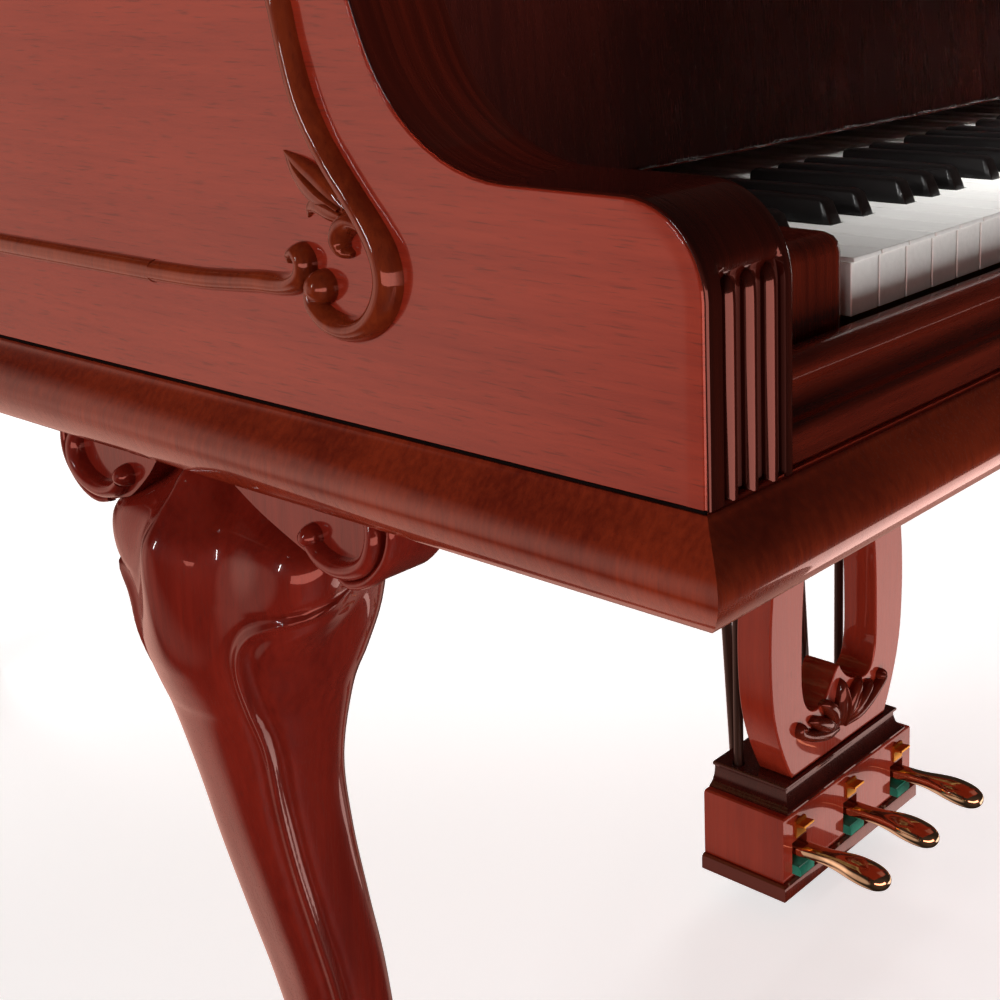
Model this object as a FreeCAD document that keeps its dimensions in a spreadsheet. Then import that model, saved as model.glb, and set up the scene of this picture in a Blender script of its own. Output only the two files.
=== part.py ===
"""A period-style grand piano: case, legs, lyre and pedals, lid, keyboard, action and strung back.

Frame: X runs to the treble, Y to the tail, Z up from the floor, with the origin under the
middle of the bounding box. All sizes are millimetres and degrees.
"""
import FreeCAD, Part
import Sketcher
import math
import os
import re
from types import SimpleNamespace

V = FreeCAD.Vector

DIMENSIONS = (
    ("block_room", 81.7, "keys to the inner face of the arm"),
    ("case_length", 1746, "arm fronts to tail"),
    ("case_drop", 110, "playing surface above the underside of the case"),
    ("lid_clear", 6.6, "folded music desk to the underside of the lid"),
    ("rim_wall", 44, "outer rim thickness"),
    ("cheek_length", 623, "straight treble side behind the arm front"),
    ("bentside_out_radius", 480, "convex shoulder of the bentside"),
    ("bentside_out_turn", 64, "degrees turned round the shoulder"),
    ("bentside_in_radius", 800, "hollow of the bentside"),
    ("bentside_in_turn", 40, "degrees turned back in the hollow"),
    ("tail_radius", 502.2, "round of the tail beside the bentside"),
    ("tail_corner_radius", 200, "bass corner of the tail"),
    ("arm_width", 56, "arm, side face to keyboard well"),
    ("arm_rise", 44, "flat of the arm above the playing surface"),
    ("arm_nose_radius", 36, "rounded front of the arm"),
    ("ogee_start", 103, "arm front to the start of the rise"),
    ("ogee_radius", 102, "hollow of the rise"),
    ("ogee_angle", 80, "steepest slope of the rise"),
    ("rim_corner_radius", 35, "rounding where the rise meets the rim top"),
    ("facing_thick", 8, "reeded facing on the arm front"),
    ("facing_step", 2, "set-back of the facing from the side"),
    ("facing_gap", 5, "shadow gap over the base moulding"),
    ("reed_radius", 8, "round of each reed"),
    ("reed_rise", 3, "how far a reed stands proud"),
    ("reed_pitch", 13, "reed spacing"),
    ("reed_fade", 33, "reeds die out under the flat of the arm"),
    ("moulding_height", 43, "base moulding"),
    ("moulding_bulge", 17, "base moulding, furthest out"),
    ("moulding_lip", 1.5, "base moulding at its top edge"),
    ("moulding_swell", 26, "height of the upper, swelling part"),
    ("moulding_undercut", 11, "slope back to the bottom edge"),
    ("bead_radius", 5.8, "applied half-round bead"),
    ("bead_rise", 86, "lower bead above the underside of the case"),
    ("bead_drop", 49, "upper bead under the rim top"),
    ("bead_offset", 52, "bead behind the arm's rise"),
    ("scroll_radius", 26, "carved scroll at the bead's end"),
    ("scroll_back", 203, "arm front to the scroll centre"),
    ("scroll_lift", 18, "scroll centre above the lower bead"),
    ("key_pitch", 23.55, "white key spacing"),
    ("key_gap", 1, "slit between keys"),
    ("key_set_back", 23, "arm front to key fronts"),
    ("key_top", 735, "playing surface"),
    ("key_thick", 26, "white key"),
    ("key_length", 400, "whole key lever"),
    ("key_head", 50, "front of a white key before the sharps"),
    ("key_show", 148, "key length in front of the fallboard"),
    ("sharp_width", 10.5, "black key"),
    ("sharp_rise", 12, "black key above the white ones"),
    ("sharp_slope", 6, "slope of a black key's front"),
    ("sharp_shift", 2.8, "how far outer sharps stand off the boundary"),
    ("balance_back", 225, "key front to the balance point"),
    ("rail_depth", 40, "key frame rails"),
    ("rail_inset", 8, "key frame inside the ends of the keys"),
    ("front_rail_height", 22, "key frame front rail"),
    ("balance_rail_height", 32, "key frame balance rail"),
    ("back_rail_height", 30, "key frame back rail"),
    ("frame_bar_height", 10, "key frame cross bars"),
    ("fulcrum_width", 6, "strip that the keys rock on"),
    ("run_gap", 0.4, "running clearance of sliding pieces"),
    ("action_shift", 3, "sideways travel of the key frame"),
    ("block_rise", 13, "key block above the playing surface"),
    ("slip_thick", 18, "key slip at its foot"),
    ("slip_gap", 3.5, "key fronts to the back of the key slip"),
    ("hammer_length", 130, "hammer centre to strike line"),
    ("hammer_over", 55, "hammer centres above the playing surface"),
    ("hammer_width", 9, "hammer felt"),
    ("hammer_rise", 32, "hammer centre to the top of the felt"),
    ("shank_thick", 6, "hammer shank"),
    ("rail_side", 24, "hammer rail section"),
    ("bracket_thick", 8, "action bracket"),
    ("bracket_depth", 115, "action bracket"),
    ("bracket_out", 30, "action bracket beside the keys"),
    ("hammer_pivot_back", 343, "arm front to the hammer centres"),
    ("damper_back", 27, "front end of the speaking lengths to the dampers"),
    ("damper_length", 36, "damper head"),
    ("damper_width", 7.2, "damper head"),
    ("damper_height", 20, "damper head"),
    ("damper_wire", 1.4, "damper wire"),
    ("tray_over", 60, "damper lifting tray above the playing surface"),
    ("damper_tray_thick", 9, "damper lifting tray"),
    ("string_over", 133, "strings above the playing surface"),
    ("agraffe_back", 461, "arm front to the front end of the speaking lengths"),
    ("treble_length", 54, "speaking length of the top string"),
    ("octave_growth", 1.88, "string length ratio for an octave"),
    ("string_clear", 35, "strings above the soundboard"),
    ("soundboard_thick", 9, "soundboard"),
    ("inner_rim_wall", 40, "inner rim under the soundboard"),
    ("belly_rail_back", 538, "arm front to the belly rail"),
    ("beam_width", 60, "case beam"),
    ("beam_height", 75, "case beam"),
    ("leg_block_width", 160, "block over the rear leg"),
    ("leg_block_thick", 25, "block between the rear leg and the beams"),
    ("rib_width", 24, "soundboard rib"),
    ("rib_height", 18, "soundboard rib"),
    ("bridge_width", 26, "bridge"),
    ("hitch_length", 38, "string behind the bridge"),
    ("bridge_clear", 45, "treble bridge to the plate's flange"),
    ("bass_bridge_clear", 105, "bass bridge to the plate's flange"),
    ("pin_first", 45, "front of the pin block to the first row of pins"),
    ("pin_row", 30, "spacing of the rows of pins"),
    ("bass_radius", 1.8, "covered bass string"),
    ("treble_radius", 0.6, "plain string"),
    ("strut_width", 6, "plate strut"),
    ("strut_height", 15, "plate strut"),
    ("strut_foot", 30, "length of a strut's foot"),
    ("plate_thick", 15, "cast plate"),
    ("plate_flange", 70, "plate flange round the edge"),
    ("pin_block_depth", 168, "pin block"),
    ("pin_block_thick", 34, "pin block"),
    ("pin_block_back", 225, "arm front to the pin block"),
    ("pin_radius", 3.4, "tuning pin"),
    ("pin_height", 31, "tuning pin above the plate"),
    ("lid_thick", 20, "lid panels"),
    ("lid_overhang", 8, "lid past the rim"),
    ("lid_front_back", 223, "arm front to the lid's front edge"),
    ("flap_depth", 300, "front lid flap"),
    ("hinge_radius", 5, "lid hinge knuckle"),
    ("hinge_length", 80, "lid hinge"),
    ("hinge_leaf", 28, "lid hinge leaf below the rim top"),
    ("leaf_thick", 2.4, "lid hinge leaf"),
    ("prop_length", 920, "lid prop, pivot to tip"),
    ("prop_width", 18, "lid prop section"),
    ("prop_heading", -60.2, "direction of the folded prop"),
    ("prop_room", 60.7814, "prop pivot to the rim's inner face"),
    ("prop_inset", 296.6, "tail to the prop pivot"),
    ("prop_over", 35, "folded prop above the strings"),
    ("prop_open", 47.4, "degrees that the prop swings up"),
    ("lid_open", 30.5, "degrees that the lid opens"),
    ("cup_side", 50, "cup block under the lid"),
    ("cup_thick", 8, "cup block under the lid"),
    ("prop_shelf", 10, "shelf under the prop pivot"),
    ("fall_hinge_back", 178, "arm front to the fallboard hinge"),
    ("fall_over", 27, "fallboard hinge above the playing surface"),
    ("fall_depth", 165, "fallboard, hinge to lip"),
    ("fall_thick", 16, "fallboard"),
    ("fall_lean", 5, "lean of the open fallboard"),
    ("name_rail_thick", 12, "rail behind the fallboard"),
    ("name_rail_height", 140, "rail behind the fallboard"),
    ("desk_over", 62, "music tray above the strings"),
    ("runner_width", 18, "runner under the music tray"),
    ("runner_height", 16, "runner under the music tray"),
    ("tray_inset", 12, "music tray behind the lid's front edge"),
    ("desk_board", 15, "music tray and desk boards"),
    ("desk_width", 660, "music desk"),
    ("desk_height", 205, "music desk"),
    ("desk_lip", 18, "ledge along the foot of the desk"),
    ("tray_depth", 225, "music tray"),
    ("leg_back", 325, "arm front to the front leg centres"),
    ("leg_inset", 55, "case side to the front leg centres"),
    ("rear_leg_x", -300, "rear leg centre"),
    ("rear_leg_inset", 253, "tail to the rear leg centre"),
    ("leg_top_radius", 48, "leg under the case"),
    ("leg_knee_radius", 60, "leg at the knee"),
    ("leg_calf_radius", 46, "leg below the knee"),
    ("leg_shin_radius", 30, "leg at half height"),
    ("leg_ankle_radius", 24, "thinnest part of the leg"),
    ("leg_foot_radius", 39, "foot"),
    ("knee_swing", 10, "knee outwards of the leg's top"),
    ("ankle_swing", 42, "ankle inwards of the leg's top"),
    ("ear_length", 125, "bracket beside the leg"),
    ("ear_height", 66, "bracket at the leg"),
    ("ear_thick", 34, "bracket"),
    ("lyre_thick", 44, "lyre board"),
    ("lyre_half_width", 114, "lyre at its widest"),
    ("lyre_front_back", 398, "arm front to the lyre board"),
    ("box_half_width", 112, "pedal box"),
    ("box_depth", 87, "pedal box"),
    ("box_back", 395, "arm front to the pedal box"),
    ("box_foot", 26, "pedal box above the floor"),
    ("box_top", 127, "top of the pedal box"),
    ("box_wall", 10, "pedal box boards"),
    ("box_ledge", 5, "plinth and cap past the box"),
    ("plinth_height", 18, "pedal box plinth"),
    ("cap_height", 23, "pedal box cap"),
    ("pedal_pitch", 86, "pedal spacing"),
    ("pedal_top", 70, "pedal upper face"),
    ("pedal_thick", 9, "pedal"),
    ("pedal_width", 18, "pedal stem"),
    ("pedal_tip_radius", 14, "pedal tip"),
    ("pedal_tip_back", 303, "arm front to the pedal tips"),
    ("pedal_pivot_back", 433, "arm front to the pedal pivots"),
    ("pivot_width", 4, "rail that the pedals rock on"),
    ("slot_side", 3, "pedal slot beside the pedal"),
    ("slot_under", 21, "pedal slot below the pedal"),
    ("slot_over", 5, "pedal slot above the pedal"),
    ("guide_over", 17, "guide plate above the pedal"),
    ("guide_thick", 3, "guide plate"),
    ("guide_height", 8, "guide plate"),
    ("brace_radius", 5, "stay behind the lyre"),
    ("brace_drop", 20, "stay's foot below the top of the pedal box"),
    ("brace_inset", 25, "stay's head in front of the belly rail"),
    ("rod_radius", 4.5, "pedal rod"),
    ("rod_back", 28, "pedal pivot to pedal rod"),
    ("rod_clear", 13, "pedal rods to the underside of the case"),
)

DERIVED = (
    ("case_width", "=52 * key_pitch + 2 * block_room + 2 * arm_width", "across the outer faces"),
    ("case_bottom", "=key_top - case_drop", "underside of rim and keybed"),
    ("arm_top", "=key_top + arm_rise", "flat of the arm"),
    ("reed_top", "=arm_top - reed_fade", "where the reeds die out"),
    ("block_top", "=key_top + block_rise", "top of the key blocks"),
    ("hammer_level", "=key_top + hammer_over", "hammer centres"),
    ("damper_tray_level", "=key_top + tray_over", "damper lifting tray"),
    ("fall_hinge_level", "=key_top + fall_over", "fallboard hinge"),
    ("string_level", "=key_top + string_over", "string plane"),
    ("soundboard_top", "=string_level - string_clear", "upper face of the soundboard"),
    ("prop_level", "=string_level + prop_over", "prop pivot"),
    ("desk_level", "=string_level + desk_over", "underside of the music tray"),
    ("rim_top", "=desk_level + 2 * desk_board + run_gap + desk_lip + lid_clear", "top edge of the rim"),
    ("bead_level", "=case_bottom + bead_rise", "lower bead"),
    ("bead_top_level", "=rim_top - bead_drop", "upper bead"),
    ("scroll_level", "=bead_level + scroll_lift", "scroll centre"),
    ("rod_top", "=case_bottom - rod_clear", "top of the pedal rods"),
    ("rear_leg_y", "=case_length / 2 - rear_leg_inset", "rear leg centre"),
    ("leg_out", "=case_width / 2 - leg_inset", "front leg centres"),
    ("prop_y", "=case_length / 2 - prop_inset", "prop pivot"),
)

doc = FreeCAD.newDocument("grand_piano")
sheet = doc.addObject("Spreadsheet::Sheet", "Dims")
for row, (alias, value, meaning) in enumerate(DIMENSIONS + DERIVED, start=1):
    sheet.set(f"A{row}", meaning)
    sheet.set(f"B{row}", str(value))
    sheet.setAlias(f"B{row}", alias)
doc.recompute()

NAMES = {alias for alias, _, _ in DIMENSIONS + DERIVED}
d = SimpleNamespace(**{alias: float(sheet.get(alias)) for alias in NAMES})
nodes = []


# Working levels and lines that follow from the driving dimensions

half = d.case_width / 2
front = -d.case_length / 2
tail = d.case_length / 2
moulding_top = d.case_bottom + d.moulding_height
well = half - d.arm_width
inner = half - d.rim_wall
key_front = front + d.key_set_back
key_bottom = d.key_top - d.key_thick
key_back = key_front + d.key_length
key_span = 52 * d.key_pitch
soundboard_low = d.soundboard_top - d.soundboard_thick
belly_front = front + d.belly_rail_back
plate_top = d.soundboard_top + d.plate_thick
web_top = plate_top + d.plate_thick
lid_low = d.rim_top + d.run_gap
lid_high = lid_low + d.lid_thick
lid_front = front + d.lid_front_back
flap_line = lid_front + d.flap_depth
box_front = front + d.box_back


# Helpers

def bind(item, prop, text):
    """Bind a property to the sheet; words that are aliases become references to it."""
    item.setExpression(prop, re.sub(
        r"[a-z]\w+", lambda word: "Dims." + word[0] if word[0] in NAMES else word[0], text))


def box(name, size, corner):
    """A board with its sizes and its lower corner given as expressions."""
    item = doc.addObject("Part::Box", name)
    for prop, text in zip(("Length", "Width", "Height"), size):
        bind(item, prop, text)
    for axis, text in zip("xyz", corner):
        bind(item, "Placement.Base." + axis, text)
    return item


def rod(name, radius, height, base):
    """An upright round bar given as expressions."""
    item = doc.addObject("Part::Cylinder", name)
    bind(item, "Radius", radius)
    bind(item, "Height", height)
    for axis, text in zip("xyz", base):
        bind(item, "Placement.Base." + axis, text)
    return item


def node(item, label):
    """Name a finished sub-part and list it for writing."""
    item.Label = label
    nodes.append(item)
    return item


def group(label, items):
    """A sub-part made of several separate solids."""
    item = doc.addObject("Part::Compound", label + "_group")
    item.Links = items
    return node(item, label)


def fused(name, items):
    item = doc.addObject("Part::MultiFuse", name)
    item.Shapes = items
    return item


def cut(name, base, tool):
    item = doc.addObject("Part::Cut", name)
    item.Base = base
    item.Tool = tool
    return item


def feature(label, shapes):
    """A sub-part whose form is worked out below from the sheet's values."""
    item = doc.addObject("Part::Feature", label + "_form")
    item.Shape = shapes[0] if len(shapes) == 1 else Part.makeCompound(shapes)
    return node(item, label)


def pad(label, role, outline, length, base):
    """A body padded from a sketch whose corners are bound to the sheet."""
    body = doc.addObject("PartDesign::Body", label + "_body")
    sketch = body.newObject("Sketcher::SketchObject", label + "_sketch")
    plane = next(item for item in body.Origin.OriginFeatures if item.Role == role)
    sketch.AttachmentSupport = [(plane, "")]
    sketch.MapMode = "FlatFace"
    count = len(outline)
    turn = 2 * math.pi / count
    ring = [V(99 * math.cos(i * turn), 99 * math.sin(i * turn), 0) for i in range(count)]
    for i in range(count):
        sketch.addGeometry(Part.LineSegment(ring[i], ring[(i + 1) % count]))
    for i in range(count):
        sketch.addConstraint(Sketcher.Constraint("Coincident", i, 2, (i + 1) % count, 1))
    for i, (across, up) in enumerate(outline):
        for kind, start, text in (("DistanceX", ring[i].x, across), ("DistanceY", ring[i].y, up)):
            index = sketch.addConstraint(Sketcher.Constraint(kind, i, 1, start))
            bind(sketch, f"Constraints[{index}]", text)
    block = body.newObject("PartDesign::Pad", label + "_pad")
    block.Profile = sketch
    bind(block, "Length", length)
    for axis, text in zip("xyz", base):
        bind(body, "Placement.Base." + axis, text)
    return body


def slab(wire, low, high):
    """Solid between two levels over a closed plan line."""
    face = Part.Face(wire)
    face.translate(V(0, 0, low))
    return face.extrude(V(0, 0, high - low))


def block(x0, x1, y0, y1, z0, z1):
    return Part.makeBox(x1 - x0, y1 - y0, z1 - z0, V(x0, y0, z0))


def side_profile(points, x0, x1):
    """Solid between two X planes over a polygon of Y and Z."""
    corners = [V(x0, y, z) for y, z in points]
    return Part.Face(Part.makePolygon(corners + corners[:1])).extrude(V(x1 - x0, 0, 0))


def mirrored(shape):
    return shape.mirror(V(0, 0, 0), V(1, 0, 0))


def polar(centre, radius, angle):
    turn = math.radians(angle)
    return V(centre.x + radius * math.cos(turn), centre.y + radius * math.sin(turn), 0)


def arc(centre, radius, first, last):
    return Part.Arc(polar(centre, radius, first), polar(centre, radius, (first + last) / 2),
                    polar(centre, radius, last)).toShape()


# Plan of the case: straight treble cheek, bentside, tail and straight bass side

leaving = d.bentside_out_turn - d.bentside_in_turn
turned = math.sin(math.radians(d.bentside_out_turn))
left_turn = math.sin(math.radians(leaving))
drawn_run = ((d.bentside_out_radius + d.bentside_in_radius) * turned - d.bentside_in_radius * left_turn
             + d.tail_radius * (1 - left_turn))
run = d.case_length - d.cheek_length
squeeze = min(1, run / drawn_run)
out_radius = squeeze * d.bentside_out_radius
in_radius = squeeze * d.bentside_in_radius
tail_radius = squeeze * d.tail_radius
shoulder = V(half - out_radius, front + d.cheek_length, 0)
hollow = polar(shoulder, out_radius + in_radius, d.bentside_out_turn)
straight = polar(V(0, 0, 0), (run - squeeze * drawn_run) / math.cos(math.radians(leaving)), leaving + 90)
tail_centre = polar(hollow, -in_radius - tail_radius, leaving) + straight
corner_centre = V(d.tail_corner_radius - half, tail - d.tail_corner_radius, 0)


JOIN = 1e-3


def plan_edges(inset, start):
    """Edges from the treble front round the tail to the bass front, moved inwards."""
    treble = V(half - inset, start, 0)
    bass = V(inset - half, start, 0)
    edges = [
        arc(shoulder, out_radius - inset, 0, d.bentside_out_turn),
        arc(hollow, in_radius + inset, 180 + d.bentside_out_turn, 180 + leaving),
        arc(tail_centre, tail_radius - inset, leaving, 90),
        arc(corner_centre, d.tail_corner_radius - inset, 90, 180),
    ]
    stops = [treble] + [vertex.Point for edge in edges for vertex in edge.Vertexes] + [bass]
    chain = []
    for number, edge in enumerate(edges + [None]):
        gap = stops[2 * number:2 * number + 2]
        if gap[0].distanceToPoint(gap[1]) > JOIN:
            chain.append(Part.makeLine(*gap))
        if edge:
            chain.append(edge)
    return chain


def plan(inset, start):
    """Closed plan line with a straight front."""
    edges = plan_edges(inset, start)
    front_line = Part.makeLine(V(inset - half, start, 0), V(half - inset, start, 0))
    return Part.Wire(edges + [front_line])


def back_edge(x, inset):
    """How far back the plan reaches at one X, moved inwards."""
    lower = polar(hollow, -in_radius - inset, leaving)
    if x > polar(shoulder, out_radius - inset, d.bentside_out_turn).x:
        return shoulder.y + math.sqrt((out_radius - inset) ** 2 - (x - shoulder.x) ** 2)
    if x > lower.x:
        return hollow.y - math.sqrt((in_radius + inset) ** 2 - (x - hollow.x) ** 2)
    if x > polar(tail_centre, tail_radius - inset, leaving).x:
        return lower.y + (lower.x - x) / math.tan(math.radians(leaving))
    if x > tail_centre.x:
        return tail_centre.y + math.sqrt((tail_radius - inset) ** 2 - (x - tail_centre.x) ** 2)
    return tail - inset


def side_edge(y, inset):
    """X of the bentside at one Y, moved inwards."""
    near, far = tail_centre.x, half - inset
    for _ in range(60):
        middle = (near + far) / 2
        if back_edge(middle, inset) > y:
            near = middle
        else:
            far = middle
    return near


def case_side():
    """Side view of the case: upright front, rounded arm, ogee rise and rim top."""
    slope = math.radians(d.ogee_angle)
    nose = V(0, front + d.arm_nose_radius, d.arm_top - d.arm_nose_radius)
    bend = math.sqrt(0.5) * d.arm_nose_radius
    rise = V(0, front + d.ogee_start, d.arm_top + d.ogee_radius)
    foot = V(0, front, d.case_bottom)
    face_top = V(0, front, nose.z)
    arm = V(0, nose.y, d.arm_top)
    rise_start = V(0, rise.y, d.arm_top)
    rise_mid = rise + V(0, math.sin(slope / 2), -math.cos(slope / 2)) * d.ogee_radius
    rise_end = rise + V(0, math.sin(slope), -math.cos(slope)) * d.ogee_radius
    corner_level = d.rim_top - d.rim_corner_radius * (1 - math.cos(slope))
    climb = (corner_level - rise_end.z) / math.tan(slope)
    corner = V(0, rise_end.y + climb, corner_level)
    turn = corner + V(0, math.sin(slope), -math.cos(slope)) * d.rim_corner_radius
    turn_mid = turn + V(0, -math.sin(slope / 2), math.cos(slope / 2)) * d.rim_corner_radius
    top = V(0, turn.y, d.rim_top)
    far_top = V(0, tail + d.rim_wall, d.rim_top)
    far_foot = V(0, tail + d.rim_wall, d.case_bottom)
    return Part.Wire([
        Part.makeLine(foot, face_top),
        Part.Arc(face_top, nose + V(0, -bend, bend), arm).toShape(),
        Part.makeLine(arm, rise_start),
        Part.Arc(rise_start, rise_mid, rise_end).toShape(),
        Part.makeLine(rise_end, corner),
        Part.Arc(corner, turn_mid, top).toShape(),
        Part.makeLine(top, far_top),
        Part.makeLine(far_top, far_foot),
        Part.makeLine(far_foot, foot),
    ])


side_solid = Part.Face(case_side()).extrude(V(d.case_width, 0, 0))
side_solid.translate(V(-half, 0, 0))


# Case: rims, beams, keybed, arm cheeks, mouldings

def outer_rim():
    wall = slab(plan(0, front), d.case_bottom, d.rim_top)
    wall = wall.cut(slab(plan(d.rim_wall, front - d.rim_wall), d.case_bottom, d.rim_top))
    facing_room = block(-half, half, front, front + d.facing_thick, moulding_top, d.rim_top)
    return wall.common(side_solid).cut(facing_room)


feature("outer_rim", [outer_rim()])


def arm_cheek():
    """Bass arm: reeded facing across the front and a lining along the keyboard well."""
    face_back = front + d.facing_thick
    facing = side_solid.common(block(d.facing_step - half, -well, front, face_back,
                                     moulding_top + d.facing_gap, d.rim_top))
    lining = side_solid.common(block(-inner, -well, face_back, front + d.fall_hinge_back,
                                     moulding_top, d.rim_top))
    middle = -half + d.arm_width / 2 + d.facing_step
    sunk = front + d.reed_radius - d.reed_rise
    foot = moulding_top + d.facing_gap
    solid = facing.fuse(lining)
    for step in (-1, 0, 1):
        at = V(middle + step * d.reed_pitch, sunk, foot)
        reed = Part.makeCylinder(d.reed_radius, d.reed_top - d.reed_radius - foot, at)
        dome = Part.makeSphere(d.reed_radius, V(at.x, at.y, d.reed_top - d.reed_radius))
        proud = block(-half, -well, front - d.reed_rise, front, foot, d.reed_top)
        solid = solid.fuse(reed.fuse(dome).common(proud))
    return solid.removeSplitter()


left_cheek = arm_cheek()
feature("arm_cheeks", [left_cheek, mirrored(left_cheek)])

inner_rim = slab(plan(d.rim_wall, belly_front), d.case_bottom, soundboard_low)
inner_void = slab(plan(d.rim_wall + d.inner_rim_wall, belly_front - d.rim_wall),
                  d.case_bottom, soundboard_low)
feature("inner_rim", [inner_rim.cut(inner_void)])

BEAM_HEADINGS = (-0.62, -0.25, 0.12)
beam_low = d.case_bottom + d.leg_block_thick
beam_high = beam_low + d.beam_height
belly_back = belly_front + d.inner_rim_wall


def case_beams():
    """Belly rail across the case, three beams fanning to the tail, and the rear leg's block."""
    rail_half = inner - d.inner_rim_wall
    rail = block(-rail_half, rail_half, belly_front, belly_back, d.case_bottom, soundboard_low)
    room = slab(plan(d.rim_wall + d.inner_rim_wall, belly_back), beam_low, beam_high)
    beams = []
    for lean in BEAM_HEADINGS:
        root = lean * inner
        beam = block(-d.beam_width / 2, d.beam_width / 2, 0, d.case_length, beam_low, beam_high)
        beam.rotate(V(0, 0, 0), V(0, 0, 1), lean * 20)
        beam.translate(V(root, belly_back, 0))
        beams.append(beam.common(room))
    seat = d.leg_block_width / 2
    leg_block = block(d.rear_leg_x - seat, d.rear_leg_x + seat, d.rear_leg_y - seat,
                      d.rear_leg_y + seat, d.case_bottom, beam_low)
    return [rail] + beams + [leg_block]


feature("case_beams", case_beams())

node(box("Keybed", ("case_width - 2 * rim_wall", "belly_rail_back", "moulding_height"),
         ("rim_wall - case_width / 2", "-case_length / 2", "case_bottom")), "keybed")


def base_moulding():
    """Swelling moulding round the foot of the case, mitred at the two front corners."""
    rings = []
    swell = d.moulding_bulge - d.moulding_lip
    for step in range(9):
        share = step / 8
        out = d.moulding_lip + swell * (1 - math.cos(math.pi * share)) / 2
        rings.append((out, moulding_top - share * d.moulding_swell))
    rings.append((d.moulding_bulge - d.moulding_undercut, d.case_bottom))
    wires = []
    for out, level in rings:
        wire = plan(-out, front - out)
        wire.translate(V(0, 0, level))
        wires.append(wire)
    core = slab(plan(0, front), d.case_bottom - 1, moulding_top + 1)
    return Part.makeLoft(wires, True, True).cut(core)


feature("base_moulding", [base_moulding()])


def half_disc(at, across):
    """Half-round bead section on the case side, looking along the bead."""
    left = at - across * d.bead_radius
    right = at + across * d.bead_radius
    crown = at + V(-d.bead_radius, 0, 0)
    return Part.Wire([Part.Arc(left, crown, right).toShape(), Part.makeLine(right, left)])


def bead_arc(centre, radius, first, last):
    """Bead round a centre on the bass side, from one angle above the tail direction to another."""
    section = half_disc(V(-half, centre.y + radius, centre.z), V(0, 1, 0))
    solid = Part.Face(section).revolve(centre, V(1, 0, 0), last - first)
    solid.rotate(centre, V(1, 0, 0), first)
    return solid


def bead_line(start, finish):
    along = (finish - start).normalize()
    section = Part.Face(half_disc(start, V(0, -along.z, along.y)))
    return section.extrude(finish - start)


BEAD_FOOT = -58
SCROLL_ARC = (128, 325)


def side_beads():
    """Applied bead panel on the bass side: upright following the ogee, scroll and ball."""
    rise = V(-half, front + d.ogee_start, d.arm_top + d.ogee_radius)
    sweep = d.ogee_radius + d.bead_offset
    slope = math.radians(d.ogee_angle)
    curve = bead_arc(rise, sweep, BEAD_FOOT, d.ogee_angle - 90)
    knee = rise + V(0, math.sin(slope), -math.cos(slope)) * sweep
    reach = (d.bead_top_level - knee.z) / math.sin(slope)
    upright = bead_line(knee, knee + V(0, math.cos(slope), math.sin(slope)) * reach)
    scroll_at = V(-half, front + d.scroll_back, d.scroll_level)
    scroll = bead_arc(scroll_at, d.scroll_radius, *SCROLL_ARC)
    ball = Part.makeSphere(d.bead_radius * 1.5, scroll_at + V(0, d.scroll_radius * 0.75, -8))
    ball = ball.common(block(-half - d.case_width, -half, front, tail, 0, d.rim_top))
    return curve.fuse([upright, scroll, ball]).removeSplitter()


def bead_round(level, start):
    """Bead running round the case at one level from the bass side to the treble side."""
    edges = plan_edges(0, start)
    path = Part.Wire(edges)
    path.translate(V(0, 0, level))
    section = Part.Wire([
        Part.Arc(V(half, start, level - d.bead_radius), V(half + d.bead_radius, start, level),
                 V(half, start, level + d.bead_radius)).toShape(),
        Part.makeLine(V(half, start, level + d.bead_radius), V(half, start, level - d.bead_radius)),
    ])
    return path.makePipeShell([section], True, False)


panel_front = front + d.scroll_back + d.scroll_radius + 4 * d.bead_radius
panel_top_front = front + d.ogee_start + d.ogee_radius + d.bead_offset + 3 * d.bead_radius
bass_beads = side_beads()
feature("side_beads", [bass_beads, mirrored(bass_beads), bead_round(d.bead_level, panel_front),
                       bead_round(d.bead_top_level, panel_top_front)])


# Strung back: soundboard, ribs, bridges, plate, pin block, pins, strings

feature("soundboard", [slab(plan(d.rim_wall, belly_front), soundboard_low, d.soundboard_top)])


def ribs():
    """Spruce ribs glued across under the soundboard."""
    room = slab(plan(d.rim_wall + d.inner_rim_wall, belly_back), soundboard_low - d.rib_height,
                soundboard_low)
    pitch = (tail - belly_back) / 9
    bars = []
    for number in range(1, 9):
        bar = block(-d.case_width, d.case_width, -d.rib_width / 2, d.rib_width / 2,
                    soundboard_low - d.rib_height, soundboard_low)
        bar.rotate(V(0, 0, 0), V(0, 0, 1), 22)
        bar.translate(V(0, belly_back + number * pitch, 0))
        bars += bar.common(room).Solids
    return bars


feature("soundboard_ribs", ribs())

NOTES = 88
BASS_NOTES = 26
note_pitch = key_span / NOTES
agraffe = front + d.agraffe_back
bridge_top = d.string_level - d.bass_radius - d.run_gap


def note_x(note):
    return (note + 0.5) * note_pitch - key_span / 2


def bridge_y(note):
    """Where a note's speaking length ends, from the scale or from the room in the case."""
    length = d.treble_length * d.octave_growth ** ((NOTES - 1 - note) / 12)
    clear = d.bass_bridge_clear if note < BASS_NOTES else d.bridge_clear
    return min(agraffe + length, back_edge(note_x(note), d.rim_wall + d.plate_flange) - clear)


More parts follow.
